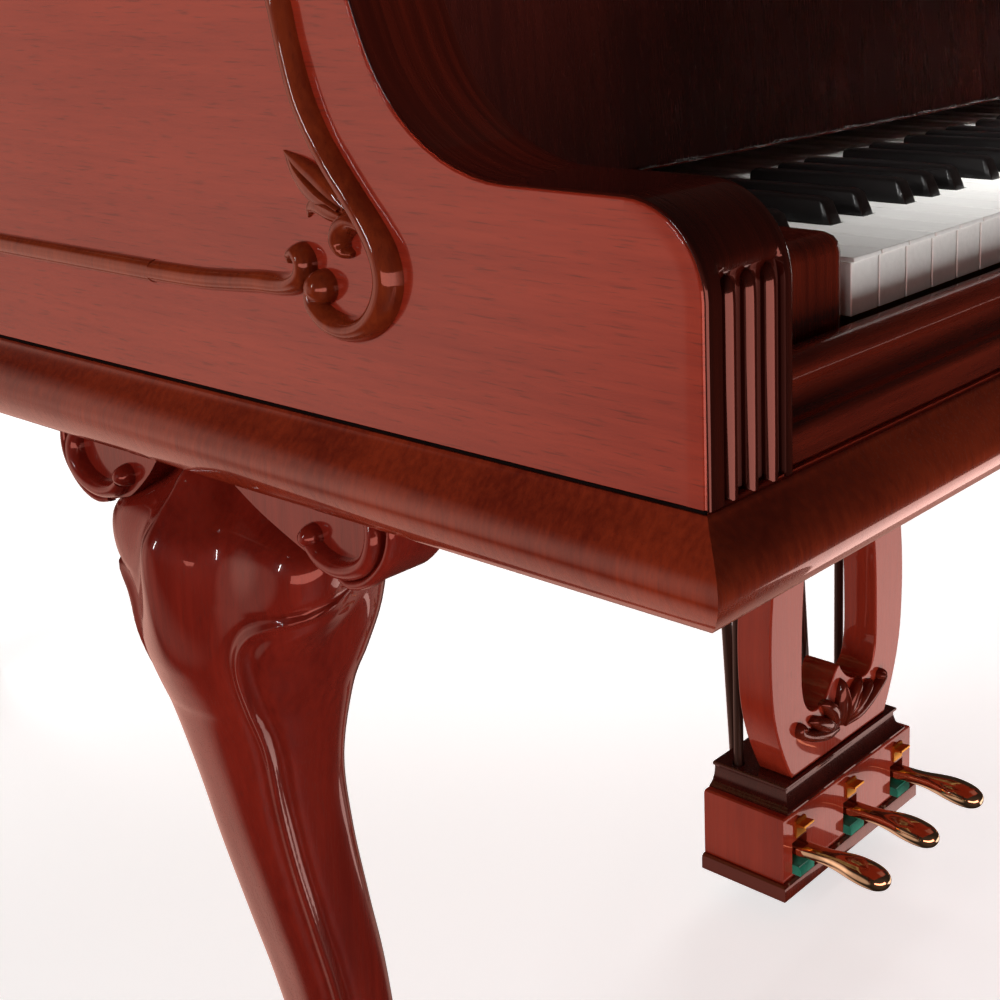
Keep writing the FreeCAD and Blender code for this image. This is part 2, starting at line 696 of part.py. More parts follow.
def bridge(first, last):
    """Curved bridge under the strings between two notes."""
    picks = [first + (last - first) * i / 6 for i in range(7)]
    line = [V(note_x(pick), bridge_y(pick), d.soundboard_top) for pick in picks]
    width = V(0, d.bridge_width, 0)
    near = Part.BSplineCurve()
    near.interpolate([point - width / 2 for point in line])
    far = Part.BSplineCurve()
    far.interpolate([point + width / 2 for point in line])
    ends = [Part.makeLine(point - width / 2, point + width / 2) for point in (line[-1], line[0])]
    outline = Part.Wire(Part.__sortEdges__([near.toShape(), ends[0], far.toShape(), ends[1]]))
    return Part.Face(outline).extrude(V(0, 0, bridge_top - d.soundboard_top))


feature("bridges", [bridge(0, BASS_NOTES - 1), bridge(BASS_NOTES, NOTES - 1)])

node(box("PinBlock", ("case_width - 2 * rim_wall", "pin_block_depth", "pin_block_thick"),
         ("rim_wall - case_width / 2", "pin_block_back - case_length / 2",
          "soundboard_top + plate_thick - pin_block_thick")), "pin_block")

STRUT_NOTES = (-0.5, BASS_NOTES - 0.5, 51.5, NOTES - 0.5)
strut_low = d.string_level + d.bass_radius + d.run_gap
pin_front = front + d.pin_block_back
pin_rear = pin_front + d.pin_block_depth


def iron_plate():
    """Cast plate: flange on the soundboard's edge, web over the pin block, and struts between."""
    flange = slab(plan(d.rim_wall, belly_front), d.soundboard_top, plate_top)
    flange = flange.cut(slab(plan(d.rim_wall + d.plate_flange, belly_front - d.plate_flange),
                             d.soundboard_top, plate_top))
    web = block(-inner, inner, pin_front, pin_rear, plate_top, web_top)
    solid = flange.fuse(web)
    for note in STRUT_NOTES:
        x = note_x(note)
        end = back_edge(x, d.rim_wall + d.plate_flange / 2)
        left = x - d.strut_width / 2
        right = x + d.strut_width / 2
        start = pin_rear - d.strut_foot
        bar = block(left, right, start, end, strut_low, strut_low + d.strut_height)
        feet = [block(left, right, start, pin_rear, plate_top, strut_low),
                block(left, right, end - d.strut_foot, end, plate_top, strut_low)]
        solid = solid.fuse([bar] + feet)
    for side in (-1, 1):
        cheek = block(inner - d.plate_flange, inner, pin_rear - d.strut_foot, belly_front + d.strut_foot,
                      d.soundboard_top, web_top)
        solid = solid.fuse(cheek if side > 0 else mirrored(cheek))
    solid = solid.cut(block(-inner, inner, pin_front, pin_rear, d.soundboard_top, plate_top))
    return solid.removeSplitter()


feature("iron_plate", [iron_plate()])


def pin_y(note):
    """Tuning pins stand in three staggered rows."""
    return pin_front + d.pin_first + d.pin_row * (note % 3)


feature("tuning_pins", [
    Part.makeCylinder(d.pin_radius, d.pin_height, V(note_x(note), pin_y(note), web_top))
    for note in range(NOTES)])


def strings(first, last, radius):
    wires = []
    for note in range(first, last):
        start = pin_y(note) + d.pin_radius + 0.2
        finish = bridge_y(note) + d.hitch_length
        wires.append(Part.makeCylinder(radius, finish - start, V(note_x(note), start, d.string_level),
                                       V(0, 1, 0)))
    return wires


feature("bass_strings", strings(0, BASS_NOTES, d.bass_radius))
feature("treble_strings", strings(BASS_NOTES, NOTES, d.treble_radius))


# Keyboard and action

slip_back = "key_set_back - slip_gap - case_length / 2"
slip = pad("key_slip", "YZ_Plane", (
    (f"{slip_back} - slip_thick", "case_bottom + moulding_height"),
    (f"{slip_back} - slip_thick", "case_bottom + moulding_height + 0.35 * slip_thick"),
    (f"{slip_back} - 0.92 * slip_thick", "case_bottom + moulding_height + 0.85 * slip_thick"),
    (f"{slip_back} - 0.5 * slip_thick", "case_bottom + moulding_height + 1.2 * slip_thick"),
    (f"{slip_back} - 0.4 * slip_thick", "key_top - key_thick - 0.5 * slip_thick"),
    (f"{slip_back} - 0.38 * slip_thick", "key_top - key_thick - 0.2 * slip_thick"),
    (f"{slip_back} - 0.2 * slip_thick", "key_top - key_thick"),
    (slip_back, "key_top - key_thick"),
    (slip_back, "case_bottom + moulding_height"),
), "case_width - 2 * arm_width - 4 * run_gap", ("arm_width + 2 * run_gap - case_width / 2", "0", "0"))
node(slip, "key_slip")

block_inner = "26 * key_pitch + action_shift + 1"
key_blocks = []
for side, corner in (("Left", "arm_width - case_width / 2"), ("Right", block_inner)):
    key_blocks.append(box(side + "Block", (
        "block_room - action_shift - 1", "key_show", "block_top - case_bottom - moulding_height"),
        (corner, "key_set_back - case_length / 2", "case_bottom + moulding_height")))
group("key_blocks", key_blocks)

frame_foot = "case_bottom + moulding_height + run_gap"
rails = []
key_line = "key_set_back - case_length / 2"
for name, back, tall in (("FrontRail", "rail_inset", "front_rail_height"),
                         ("BalanceRail", "balance_back - rail_depth / 2", "balance_rail_height"),
                         ("BackRail", "key_length - rail_depth - rail_inset", "back_rail_height")):
    rails.append(box(name, ("52 * key_pitch", "rail_depth", tall),
                     ("-26 * key_pitch", f"{key_line} + {back}", frame_foot)))
rails.append(box("Fulcrum", ("52 * key_pitch", "fulcrum_width",
                             f"key_top - key_thick - 2 * run_gap - ({frame_foot})"),
                 ("-26 * key_pitch", f"{key_line} + balance_back - fulcrum_width / 2", frame_foot)))
for number in range(4):
    rails.append(box(f"FrameBar{number}", ("rail_depth", "key_length - 2 * rail_inset", "frame_bar_height"),
                     (f"-26 * key_pitch + {number} * (52 * key_pitch - rail_depth) / 3",
                      f"{key_line} + rail_inset", frame_foot)))
node(fused("KeyFrame", rails), "key_frame")

LETTERS = "ABCDEFG"
SHARP_SHIFT = {"A": 1, "C": -1, "D": 1, "F": -1, "G": 0}


def sharp_x(natural):
    """Middle of the black key above a white key, or None where there is none."""
    letter = LETTERS[natural % 7]
    if letter not in SHARP_SHIFT or not 0 <= natural < 51:
        return None
    return (natural + 1) * d.key_pitch - key_span / 2 + SHARP_SHIFT[letter] * d.sharp_shift


def white_key(natural):
    """White key: broad head, then a tail narrowed by its black neighbours."""
    left = natural * d.key_pitch - key_span / 2 + d.key_gap / 2
    right = left + d.key_pitch - d.key_gap
    room = d.sharp_width / 2 + d.key_gap
    before = sharp_x(natural - 1)
    after = sharp_x(natural)
    tail_left = left if before is None else before + room
    tail_right = right if after is None else after - room
    neck = key_front + d.key_head
    outline = [(left, key_front), (right, key_front), (right, neck), (tail_right, neck),
               (tail_right, key_back), (tail_left, key_back), (tail_left, neck), (left, neck)]
    corners = []
    for x, y in outline:
        point = V(x, y, 0)
        if not corners or point.distanceToPoint(corners[-1]) > 0.01:
            corners.append(point)
    return slab(Part.makePolygon(corners + corners[:1]), key_bottom, d.key_top)


def black_key(natural):
    """Black key: sloped front and raised cap on a plain lever."""
    middle = sharp_x(natural)
    start = key_front + d.key_head + d.key_gap
    cap_end = key_front + d.key_show - 2
    high = d.key_top + d.sharp_rise
    return side_profile(
        [(start, key_bottom), (start, d.key_top), (start + d.sharp_slope, high), (cap_end, high),
         (cap_end, d.key_top), (key_back, d.key_top), (key_back, key_bottom)],
        middle - d.sharp_width / 2, middle + d.sharp_width / 2)


def hammer(note):
    """Shank and felted head, reaching back from the hammer centre."""
    pivot = front + d.hammer_pivot_back
    head = pivot + d.hammer_length
    z = d.hammer_level
    x = note_x(note)
    shank = d.shank_thick / 2
    return side_profile(
        [(pivot, z - shank), (head - 7, z - shank), (head - 6, z - 12), (head + 6, z - 12),
         (head + 10, z + 12), (head + 6, z + 26), (head, z + d.hammer_rise), (head - 6, z + 26),
         (head - 10, z + 12), (head - 7, z + shank), (pivot, z + shank),
         (pivot - 0.7 * shank, z + 0.7 * shank), (pivot - shank, z),
         (pivot - 0.7 * shank, z - 0.7 * shank)],
        x - d.hammer_width / 2, x + d.hammer_width / 2)


OCTAVE_STARTS = (0, 9, 16, 23, 30, 37, 44, 52)
for octave, (first, after) in enumerate(zip(OCTAVE_STARTS, OCTAVE_STARTS[1:]), start=1):
    naturals = range(first, after)
    sharps = [natural for natural in naturals if sharp_x(natural) is not None]
    feature(f"keys_octave_{octave}", [white_key(n) for n in naturals] + [black_key(n) for n in sharps])

HAMMER_STARTS = (0, 15, 27, 39, 51, 63, 75, NOTES)
for octave, (first, after) in enumerate(zip(HAMMER_STARTS, HAMMER_STARTS[1:]), start=1):
    feature(f"hammers_octave_{octave}", [hammer(note) for note in range(first, after)])

hammer_line = "hammer_pivot_back - case_length / 2"
rail_span = "52 * key_pitch + 2 * bracket_out"
action = [
    box("HammerRail", (rail_span, "rail_side", "rail_side"),
        ("-26 * key_pitch - bracket_out", f"{hammer_line} - shank_thick / 2 - run_gap - rail_side",
         "hammer_level - rail_side / 2")),
    box("LeverRail", (rail_span, "rail_side", "rail_side"),
        ("-26 * key_pitch - bracket_out", f"{hammer_line} + rail_side", "hammer_level - 2 * rail_side")),
]
for side, upright, foot in (("Left", "-26 * key_pitch - bracket_out - bracket_thick",
                             "-26 * key_pitch - bracket_out - bracket_thick"),
                            ("Right", "26 * key_pitch + bracket_out", "26 * key_pitch")):
    action.append(box(side + "Bracket", (
        "bracket_thick", "bracket_depth", f"hammer_level + rail_side / 2 - ({frame_foot})"),
        (upright, f"{hammer_line} - 2 * rail_side", frame_foot)))
    action.append(box(side + "Foot", ("bracket_out + bracket_thick", "rail_depth", "frame_bar_height"),
                      (foot, f"{key_line} + key_length - rail_depth - rail_inset", frame_foot)))
node(fused("ActionRails", action), "action_rails")

DAMPED_NOTES = 66
damper_y = front + d.agraffe_back + d.damper_back


def dampers():
    """Damper heads on the strings, carried on wires by one lifting tray."""
    middle = damper_y + d.damper_length / 2
    tray_top = d.damper_tray_level + d.damper_tray_thick
    low = d.string_level + d.bass_radius + d.run_gap
    reach = d.damper_width / 2
    solid = block(note_x(0) - d.damper_width, note_x(DAMPED_NOTES), middle - d.damper_tray_thick,
                  middle + d.damper_tray_thick, d.damper_tray_level, tray_top)
    pieces = []
    for note in range(DAMPED_NOTES):
        x = note_x(note)
        pieces.append(block(x - reach, x + reach, damper_y, damper_y + d.damper_length, low,
                            low + d.damper_height))
        pieces.append(block(x - reach, x - reach + d.damper_wire, middle, middle + d.damper_wire,
                            tray_top, low))
    return solid.fuse(pieces)


feature("dampers", [dampers()])


# Fallboard, name rail and music desk

fall = box("Fallboard", ("case_width - 2 * arm_width - 4 * run_gap", "fall_thick", "fall_depth + 6"),
           ("arm_width + 2 * run_gap - case_width / 2",
            "fall_hinge_back - case_length / 2 - 3", "fall_hinge_level - 6"))
fall.Placement.Rotation = FreeCAD.Rotation(V(1, 0, 0), -d.fall_lean)
node(fall, "fallboard")

name_rail = box("NameRail", ("case_width - 2 * rim_wall", "name_rail_thick", "name_rail_height"),
                ("rim_wall - case_width / 2", "pin_block_back - name_rail_thick - case_length / 2",
                 "key_top + sharp_rise"))
node(name_rail, "name_rail")

tray_line = "lid_front_back + tray_inset - case_length / 2"
runners = []
for side, corner in (("Left", "rim_wall - case_width / 2"),
                     ("Right", "case_width / 2 - rim_wall - runner_width")):
    runners.append(box(side + "Runner", ("runner_width", "tray_depth", "runner_height"),
                       (corner, tray_line,
                        "desk_level - run_gap - runner_height")))
group("desk_runners", runners)

tray = pad("music_tray", "XY_Plane", (
    ("rim_wall + 2 * run_gap - case_width / 2", tray_line),
    ("case_width / 2 - rim_wall - 2 * run_gap", tray_line),
    ("case_width / 2 - rim_wall - 2 * run_gap", f"{tray_line} + tray_depth"),
    ("rim_wall + 2 * run_gap - case_width / 2", f"{tray_line} + tray_depth"),
), "desk_board", ("0", "0", "desk_level"))
node(tray, "music_tray")

desk_foot = lid_front + 18
desk_low = d.desk_level + d.desk_board + d.run_gap


def music_desk():
    """Book rest with a bowed top edge, lying on its tray, and a ledge along its foot."""
    half_desk = d.desk_width / 2
    near = desk_foot
    shoulder_y = near + 0.72 * d.desk_height
    crown = V(0, near + d.desk_height, 0)
    right = V(half_desk, shoulder_y, 0)
    left = V(-half_desk, shoulder_y, 0)
    outline = Part.Wire([
        Part.makeLine(V(-half_desk, near, 0), V(half_desk, near, 0)),
        Part.makeLine(V(half_desk, near, 0), right),
        Part.Arc(right, crown, left).toShape(),
        Part.makeLine(left, V(-half_desk, near, 0)),
    ])
    board = slab(outline, desk_low, desk_low + d.desk_board)
    ledge = block(-half_desk, half_desk, near, near + 10, desk_low, desk_low + d.desk_board + d.desk_lip)
    return board.fuse(ledge).removeSplitter()


feature("music_desk", [music_desk()])


# Lid, flap, hinges and prop

def lid_plan(start, finish):
    whole = slab(plan(-d.lid_overhang, lid_front), lid_low, lid_high)
    return whole.common(block(-half, half + 2 * d.lid_overhang, start, finish, lid_low, lid_high))


feature("main_lid", [lid_plan(flap_line + 1, tail + 2 * d.lid_overhang)])

flap = lid_plan(lid_front, flap_line)
flap.rotate(V(0, flap_line + 0.5, lid_high + d.run_gap / 2), V(1, 0, 0), 180)
feature("front_lid", [flap])

hinge_x = -half - d.hinge_radius - 1
HINGE_PLACES = (0.14, 0.42, 0.7)


def lid_hinges(lower):
    """Butt hinges on the bass side; the case keeps the middle knuckle, the lid the outer two."""
    solids = []
    third = d.hinge_length / 3
    for share in HINGE_PLACES:
        start = front + d.lid_front_back + d.flap_depth + share * (tail - flap_line)
        knuckles = [start + third + 0.3] if lower else [start, start + 2 * third + 0.6]
        for at in knuckles:
            barrel = Part.makeCylinder(d.hinge_radius, third, V(hinge_x, at, d.rim_top), V(0, 1, 0))
            low = d.rim_top - d.hinge_leaf if lower else lid_low
            high = d.rim_top if lower else lid_high - d.leaf_thick
            strap_low = d.rim_top - d.leaf_thick if lower else lid_low + d.leaf_thick / 2
            leaf = block(-half - d.leaf_thick, -half, at, at + third, low, high)
            strap = block(hinge_x, -half, at, at + third, strap_low, strap_low + d.leaf_thick)
            solids.append(barrel.fuse([leaf, strap]).removeSplitter())
    return solids


feature("case_hinge_leaves", lid_hinges(True))
feature("lid_hinge_leaves", lid_hinges(False))


eye_radius = d.prop_width / 2 + 2
prop_x = side_edge(d.prop_y, d.rim_wall) - d.prop_room


def lid_prop():
    """Stick lying folded along the bentside, with a round eye at its pivot."""
    half_width = d.prop_width / 2
    stick = block(0, d.prop_length, -half_width, half_width, -half_width, half_width)
    eye = Part.makeCylinder(eye_radius, d.prop_width, V(0, -half_width, 0), V(0, 1, 0))
    shape = stick.fuse(eye).removeSplitter()
    shape.rotate(V(0, 0, 0), V(0, 0, 1), d.prop_heading)
    shape.translate(V(prop_x, d.prop_y, d.prop_level))
    return shape


feature("lid_prop", [lid_prop()])


def prop_bracket():
    """Shelf on the rim that carries the prop's pivot."""
    width = 2 * d.prop_width
    shelf = block(-width / 2, 10 * width, -width / 2, width / 2, 0, d.prop_shelf)
    shelf.rotate(V(0, 0, 0), V(0, 0, 1), d.prop_heading + 90)
    shelf.translate(V(prop_x, d.prop_y, d.prop_level - eye_radius - d.run_gap - d.prop_shelf))
    room = slab(plan(d.rim_wall, belly_front), web_top, d.prop_level)
    return shelf.common(room)


feature("prop_bracket", [prop_bracket()])


def prop_cup():
    """Block under the lid that the prop's tip meets when the lid stands open."""
    raised = math.radians(d.prop_open)
    heading = math.radians(d.prop_heading)
    reach = d.prop_length * math.cos(raised)
    tip = V(prop_x + reach * math.cos(heading), d.prop_y + reach * math.sin(heading),
            d.prop_level + d.prop_length * math.sin(raised))
    lid_turn = FreeCAD.Rotation(V(0, 1, 0), d.lid_open)
    axis = V(hinge_x, 0, d.rim_top)
    at = axis + lid_turn.multVec(tip - axis)
    reach = d.cup_side / 2
    return block(at.x - reach, at.x + reach, at.y - reach, at.y + reach, lid_low - d.cup_thick, lid_low)


feature("prop_cup", [prop_cup()])


# Legs and brackets

def leg():
    """Cabriole leg about its own top centre, knee swinging out along -X."""
    height = d.case_bottom
    stations = (
        (0, -d.ankle_swing * 0.1, d.leg_foot_radius * 0.92),
        (0.035, -d.ankle_swing * 0.12, d.leg_foot_radius),
        (0.11, -d.ankle_swing * 0.55, d.leg_ankle_radius * 1.25),
        (0.26, -d.ankle_swing, d.leg_ankle_radius),
        (0.48, -d.ankle_swing * 0.68, d.leg_shin_radius),
        (0.64, 0, d.leg_shin_radius * 1.2),
        (0.78, d.knee_swing, d.leg_calf_radius),
        (0.9, d.knee_swing * 0.6, d.leg_knee_radius),
        (1, 0, d.leg_top_radius),
    )
    rings = []
    for share, out, radius in stations:
        circle = Part.Circle(V(-out, 0, share * height), V(0, 0, 1), radius)
        rings.append(Part.Wire(circle.toShape()))
    return Part.makeLoft(rings, True)


def ear(sign):
    """Bracket beside the leg: flat on top, hollow underneath, in the plane of the case side."""
    top = d.case_bottom
    root = d.leg_top_radius * 0.5
    tip = root + d.ear_length
    low = top - d.ear_height
    points = [V(0, sign * root, top), V(0, sign * tip, top), V(0, sign * tip, top - 9)]
    belly = V(0, sign * (root + 0.42 * d.ear_length), top - 0.36 * d.ear_height)
    foot = V(0, sign * (root + 22), low)
    edges = [Part.makeLine(points[0], points[1]), Part.makeLine(points[1], points[2]),
             Part.Arc(points[2], belly, foot).toShape(),
             Part.makeLine(foot, V(0, sign * root, low)),
             Part.makeLine(V(0, sign * root, low), points[0])]
    solid = Part.Face(Part.Wire(edges)).extrude(V(d.ear_thick, 0, 0))
    solid.translate(V(-d.leg_top_radius, 0, 0))
    return solid.cut(leg())


LEG_PLACES = (
    ("front_left_leg", -d.leg_out, front + d.leg_back, 0),
    ("front_right_leg", d.leg_out, front + d.leg_back, 180),
    ("rear_leg", d.rear_leg_x, d.rear_leg_y, -90),
)
ears = []
for name, x, y, turn in LEG_PLACES:
    place = FreeCAD.Placement(V(x, y, 0), FreeCAD.Rotation(V(0, 0, 1), turn))
    item = feature(name, [leg()])
    item.Placement = place
    for sign in (-1, 1):
        piece = ear(sign)
        piece.Placement = place
        ears.append(piece)
feature("leg_brackets", ears)


# Lyre, pedal box, pedals and rods

def closed_curve(points, level):
    curve = Part.BSplineCurve()
    curve.interpolate([V(x, level, z) for x, z in points], PeriodicFlag=True)
    return Part.Wire(curve.toShape())


def lyre():
    """Lyre board: swelling bowl, drawn-in neck, flared top, with a heart-shaped opening."""
    top = d.case_bottom
    foot = d.box_top
    tall = top - foot
    wide = d.lyre_half_width
    y = front + d.lyre_front_back
    outline = ((0.84, 0), (0.92, 0.08), (1, 0.26), (0.93, 0.42), (0.72, 0.6), (0.7, 0.76), (0.9, 0.92),
               (0.95, 1))
    right = [V(wide * across, y, foot + tall * up) for across, up in outline]
    left = [V(-p.x, p.y, p.z) for p in reversed(right)]
    sides = []
    for line in (right, left):
        curve = Part.BSplineCurve()
        curve.interpolate(line)
        sides.append(curve.toShape())
    outer = Part.Wire([sides[0], Part.makeLine(right[-1], left[0]), sides[1],
                       Part.makeLine(left[-1], right[0])])
    hole = [(0, 0.16), (0.2, 0.12), (0.44, 0.11), (0.56, 0.22), (0.5, 0.4), (0.32, 0.58), (0.28, 0.72),
            (0.16, 0.84), (0, 0.87)]
    hole += [(-across, up) for across, up in reversed(hole[1:-1])]
    opening = closed_curve([(wide * across, foot + tall * up) for across, up in hole], y)
    board = Part.Face(outer).extrude(V(0, d.lyre_thick, 0))
    return board.cut(Part.Face(opening).extrude(V(0, d.lyre_thick, 0)))


feature("lyre", [lyre()])

box_line = "box_back - case_length / 2"
ledge_line = f"{box_line} - box_ledge"
box_shell = box("BoxBody", ("2 * box_half_width", "box_depth", "box_top - box_foot"),
                ("-box_half_width", box_line, "box_foot"))
box_plinth = box("BoxPlinth", ("2 * box_half_width + 2 * box_ledge", "box_depth + box_ledge",
                               "plinth_height"),
                 ("-box_half_width - box_ledge", ledge_line, "box_foot"))
box_cap = box("BoxCap", ("2 * box_half_width + 2 * box_ledge", "box_depth + box_ledge", "cap_height / 2"),
              ("-box_half_width - box_ledge", ledge_line, "box_top - 0.75 * cap_height"))
box_room = box("BoxRoom", ("2 * box_half_width - 2 * box_wall", "box_depth - 2 * box_wall",
                           "box_top - box_foot - 2 * box_wall"),
               ("box_wall - box_half_width", f"{box_line} + box_wall", "box_foot + box_wall"))
slots = [box_room]
pivot_line = "pedal_pivot_back - case_length / 2"
pivot_rail = box("PivotRail", ("2 * box_half_width - 2 * box_wall", "pivot_width",
                               "pedal_top - pedal_thick - run_gap - box_foot - box_wall"),
                 ("box_wall - box_half_width", f"{pivot_line} - pivot_width / 2", "box_foot + box_wall"))
for number in (-1, 0, 1):
    slots.append(box(f"Slot{number + 1}", ("pedal_width + 2 * slot_side", "box_wall + 2 * box_ledge",
                                           "pedal_thick + slot_under + slot_over"),
                     (f"{number} * pedal_pitch - pedal_width / 2 - slot_side",
                      f"{box_line} - 2 * box_ledge", "pedal_top - pedal_thick - slot_under")))
    slots.append(rod(f"RodHole{number + 1}", "rod_radius + 1.5", "box_wall + 2",
                     (f"{number} * pedal_pitch", "pedal_pivot_back + rod_back - case_length / 2",
                      "box_top - box_wall - 1")))
box_outside = fused("BoxOutside", [box_shell, box_plinth, box_cap])
hollowed = cut("BoxHollowed", box_outside, fused("BoxSpaces", slots))
node(fused("PedalBox", [hollowed, pivot_rail]), "pedal_box")


def pedal(x):
    """Brass lever with a broad round tip, its tail under the rod."""
    tip = front + d.pedal_tip_back
    end = front + d.pedal_pivot_back + d.rod_back + d.rod_radius
    neck = tip + 3.2 * d.pedal_tip_radius
    stem = d.pedal_width / 2
    round_tip = V(x, tip + d.pedal_tip_radius, 0)
    broad = d.pedal_tip_radius
    outline = Part.Wire([
        Part.Arc(V(x - broad, round_tip.y, 0), V(x, tip, 0), V(x + broad, round_tip.y, 0)).toShape(),
        Part.makeLine(V(x + broad, round_tip.y, 0), V(x + stem, neck, 0)),
        Part.makeLine(V(x + stem, neck, 0), V(x + stem, end, 0)),
        Part.makeLine(V(x + stem, end, 0), V(x - stem, end, 0)),
        Part.makeLine(V(x - stem, end, 0), V(x - stem, neck, 0)),
        Part.makeLine(V(x - stem, neck, 0), V(x - broad, round_tip.y, 0)),
    ])
    lever = slab(outline, d.pedal_top - d.pedal_thick, d.pedal_top)
    return lever.makeFillet(d.pedal_thick / 4, [edge for edge in lever.Edges
                                                if abs(edge.BoundBox.ZLength) < 0.01])


for name, number in (("left", -1), ("middle", 0), ("right", 1)):
    feature(f"{name}_pedal", [pedal(number * d.pedal_pitch)])
    node(rod(f"{name.title()}Rod", "rod_radius", "rod_top - pedal_top - run_gap",
             (f"{number} * pedal_pitch", "pedal_pivot_back + rod_back - case_length / 2",
              "pedal_top + run_gap")), f"{name}_pedal_rod")

guides = []
for number in (-1, 0, 1):
    guides.append(box(f"Guide{number + 1}", ("pedal_width + 2 * slot_side", "guide_thick", "guide_height"),
                      (f"{number} * pedal_pitch - pedal_width / 2 - slot_side",
                       f"{box_line} - guide_thick", "pedal_top + guide_over")))
group("pedal_guides", guides)


def lyre_brace(x):
    """Slanted stay from the back of the pedal box to the keybed."""
    low = V(x, box_front + d.box_depth, d.box_top - d.brace_drop)
    high = V(x, belly_front - d.brace_inset, d.case_bottom)
    along = (high - low).normalize()
    stay = Part.makeCylinder(d.brace_radius, 3 * d.case_bottom, low - along * d.case_bottom, along)
    return stay.common(block(x - 2 * d.brace_radius, x + 2 * d.brace_radius, low.y, belly_front,
                            d.box_foot + d.plinth_height, d.case_bottom))


feature("lyre_braces", [lyre_brace(-0.55 * d.box_half_width), lyre_brace(0.55 * d.box_half_width)])


# Check the document and write one file for each sub-part

doc.recompute()
faults = [item.Label for item in doc.Objects if {"Invalid", "Error"} & set(item.State)]
faults += [item.Label for item in nodes if item.Shape.isNull() or not item.Shape.isValid()]
if faults:
    raise RuntimeError("failed pieces: " + ", ".join(faults))

os.makedirs("parts", exist_ok=True)
for item in nodes:
    item.Shape.exportStep(f"parts/{item.Label}.step")
    bounds = item.Shape.BoundBox
    print(f"{item.Label}: {len(item.Shape.Solids)} solids, volume {item.Shape.Volume / 1e6:.3f} dm3, "
          f"x {bounds.XMin:.1f}..{bounds.XMax:.1f} y {bounds.YMin:.1f}..{bounds.YMax:.1f} "
          f"z {bounds.ZMin:.1f}..{bounds.ZMax:.1f}")
print(len(nodes), "sub-parts")
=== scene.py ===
# %% [markdown]
# # A period grand piano in red mahogany
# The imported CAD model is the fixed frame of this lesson. It already holds every working piece in
# its right place, in metres, so nothing here has to be fitted by eye. We load it first and keep
# its box, because the dressed piano may grow only a few millimetres past the CAD one.

# %% Load the frame
import math
import bmesh
import bpy
import numpy as np
from mathutils import Matrix, Vector


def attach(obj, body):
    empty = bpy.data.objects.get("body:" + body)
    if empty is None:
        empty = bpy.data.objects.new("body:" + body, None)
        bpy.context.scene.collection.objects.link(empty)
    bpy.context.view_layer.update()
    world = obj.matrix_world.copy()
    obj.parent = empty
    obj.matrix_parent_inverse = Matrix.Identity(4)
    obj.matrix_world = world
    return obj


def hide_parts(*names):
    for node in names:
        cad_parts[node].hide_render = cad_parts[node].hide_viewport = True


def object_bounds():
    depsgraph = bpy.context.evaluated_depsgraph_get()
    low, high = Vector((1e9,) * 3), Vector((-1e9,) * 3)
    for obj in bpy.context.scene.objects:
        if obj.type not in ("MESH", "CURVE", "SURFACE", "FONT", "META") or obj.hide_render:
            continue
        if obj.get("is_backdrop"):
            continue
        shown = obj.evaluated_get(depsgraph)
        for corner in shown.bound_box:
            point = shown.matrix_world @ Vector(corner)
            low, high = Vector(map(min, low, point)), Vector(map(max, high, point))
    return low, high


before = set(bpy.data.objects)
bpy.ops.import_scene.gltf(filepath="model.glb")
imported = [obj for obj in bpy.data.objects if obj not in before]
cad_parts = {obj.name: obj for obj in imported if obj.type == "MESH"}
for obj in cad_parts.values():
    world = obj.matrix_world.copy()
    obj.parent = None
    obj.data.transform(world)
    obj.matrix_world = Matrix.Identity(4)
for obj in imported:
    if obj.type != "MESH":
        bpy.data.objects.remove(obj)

MM = 0.001
cad_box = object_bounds()

# %% [markdown]
# ## Camera
# The photograph looks at the front bass corner from keyboard height, a little from outside the
# case. A longer lens turned down by about twelve degrees gives that view. A small shift moves the
# picture window down, as a view camera does, so that the uprights stay upright.

# %% Camera
CAMERA_PLACE = (-1188.6 * MM, -1199.0 * MM, 868.1 * MM)
CAMERA_HEADING, CAMERA_PITCH, CAMERA_ROLL = 0.8531, -0.2186, -0.0328
CAMERA_SHIFT = (-0.08, -0.20)
PICTURE_PIXELS, FOCAL_PIXELS, SENSOR = 1000, 1603.2, 36.0


def link(name, data):
    """A camera, lamp or mesh as an object in the scene."""
    item = bpy.data.objects.new(name, data)
    bpy.context.scene.collection.objects.link(item)
    return item


camera_data = bpy.data.cameras.new("studio_camera")
camera_data.sensor_width = SENSOR
camera_data.lens = SENSOR * FOCAL_PIXELS / PICTURE_PIXELS
camera_data.shift_x, camera_data.shift_y = CAMERA_SHIFT
camera = link("studio_camera", camera_data)
camera.location = CAMERA_PLACE
camera.rotation_mode = "QUATERNION"
camera.rotation_quaternion = (Matrix.Rotation(-CAMERA_HEADING, 3, "Z")
                              @ Matrix.Rotation(math.pi / 2 + CAMERA_PITCH, 3, "X")
                              @ Matrix.Rotation(CAMERA_ROLL, 3, "Z")).to_quaternion()
bpy.context.scene.camera = camera
print("lens", round(camera_data.lens, 1), "mm")

# %% [markdown]
# ## Writing shaders as sums
# A finish is easier to read as `1 - pores * 0.4` than as a list of nodes and links. `Value` wraps
# one socket and turns each Python operator into a Math node. `Tree` has one method, `node`, for
# every other kind of node. A `Finish` is such a tree round one Principled shader. Further down,
# the geometry trees and the studio's world are trees of the same kind.

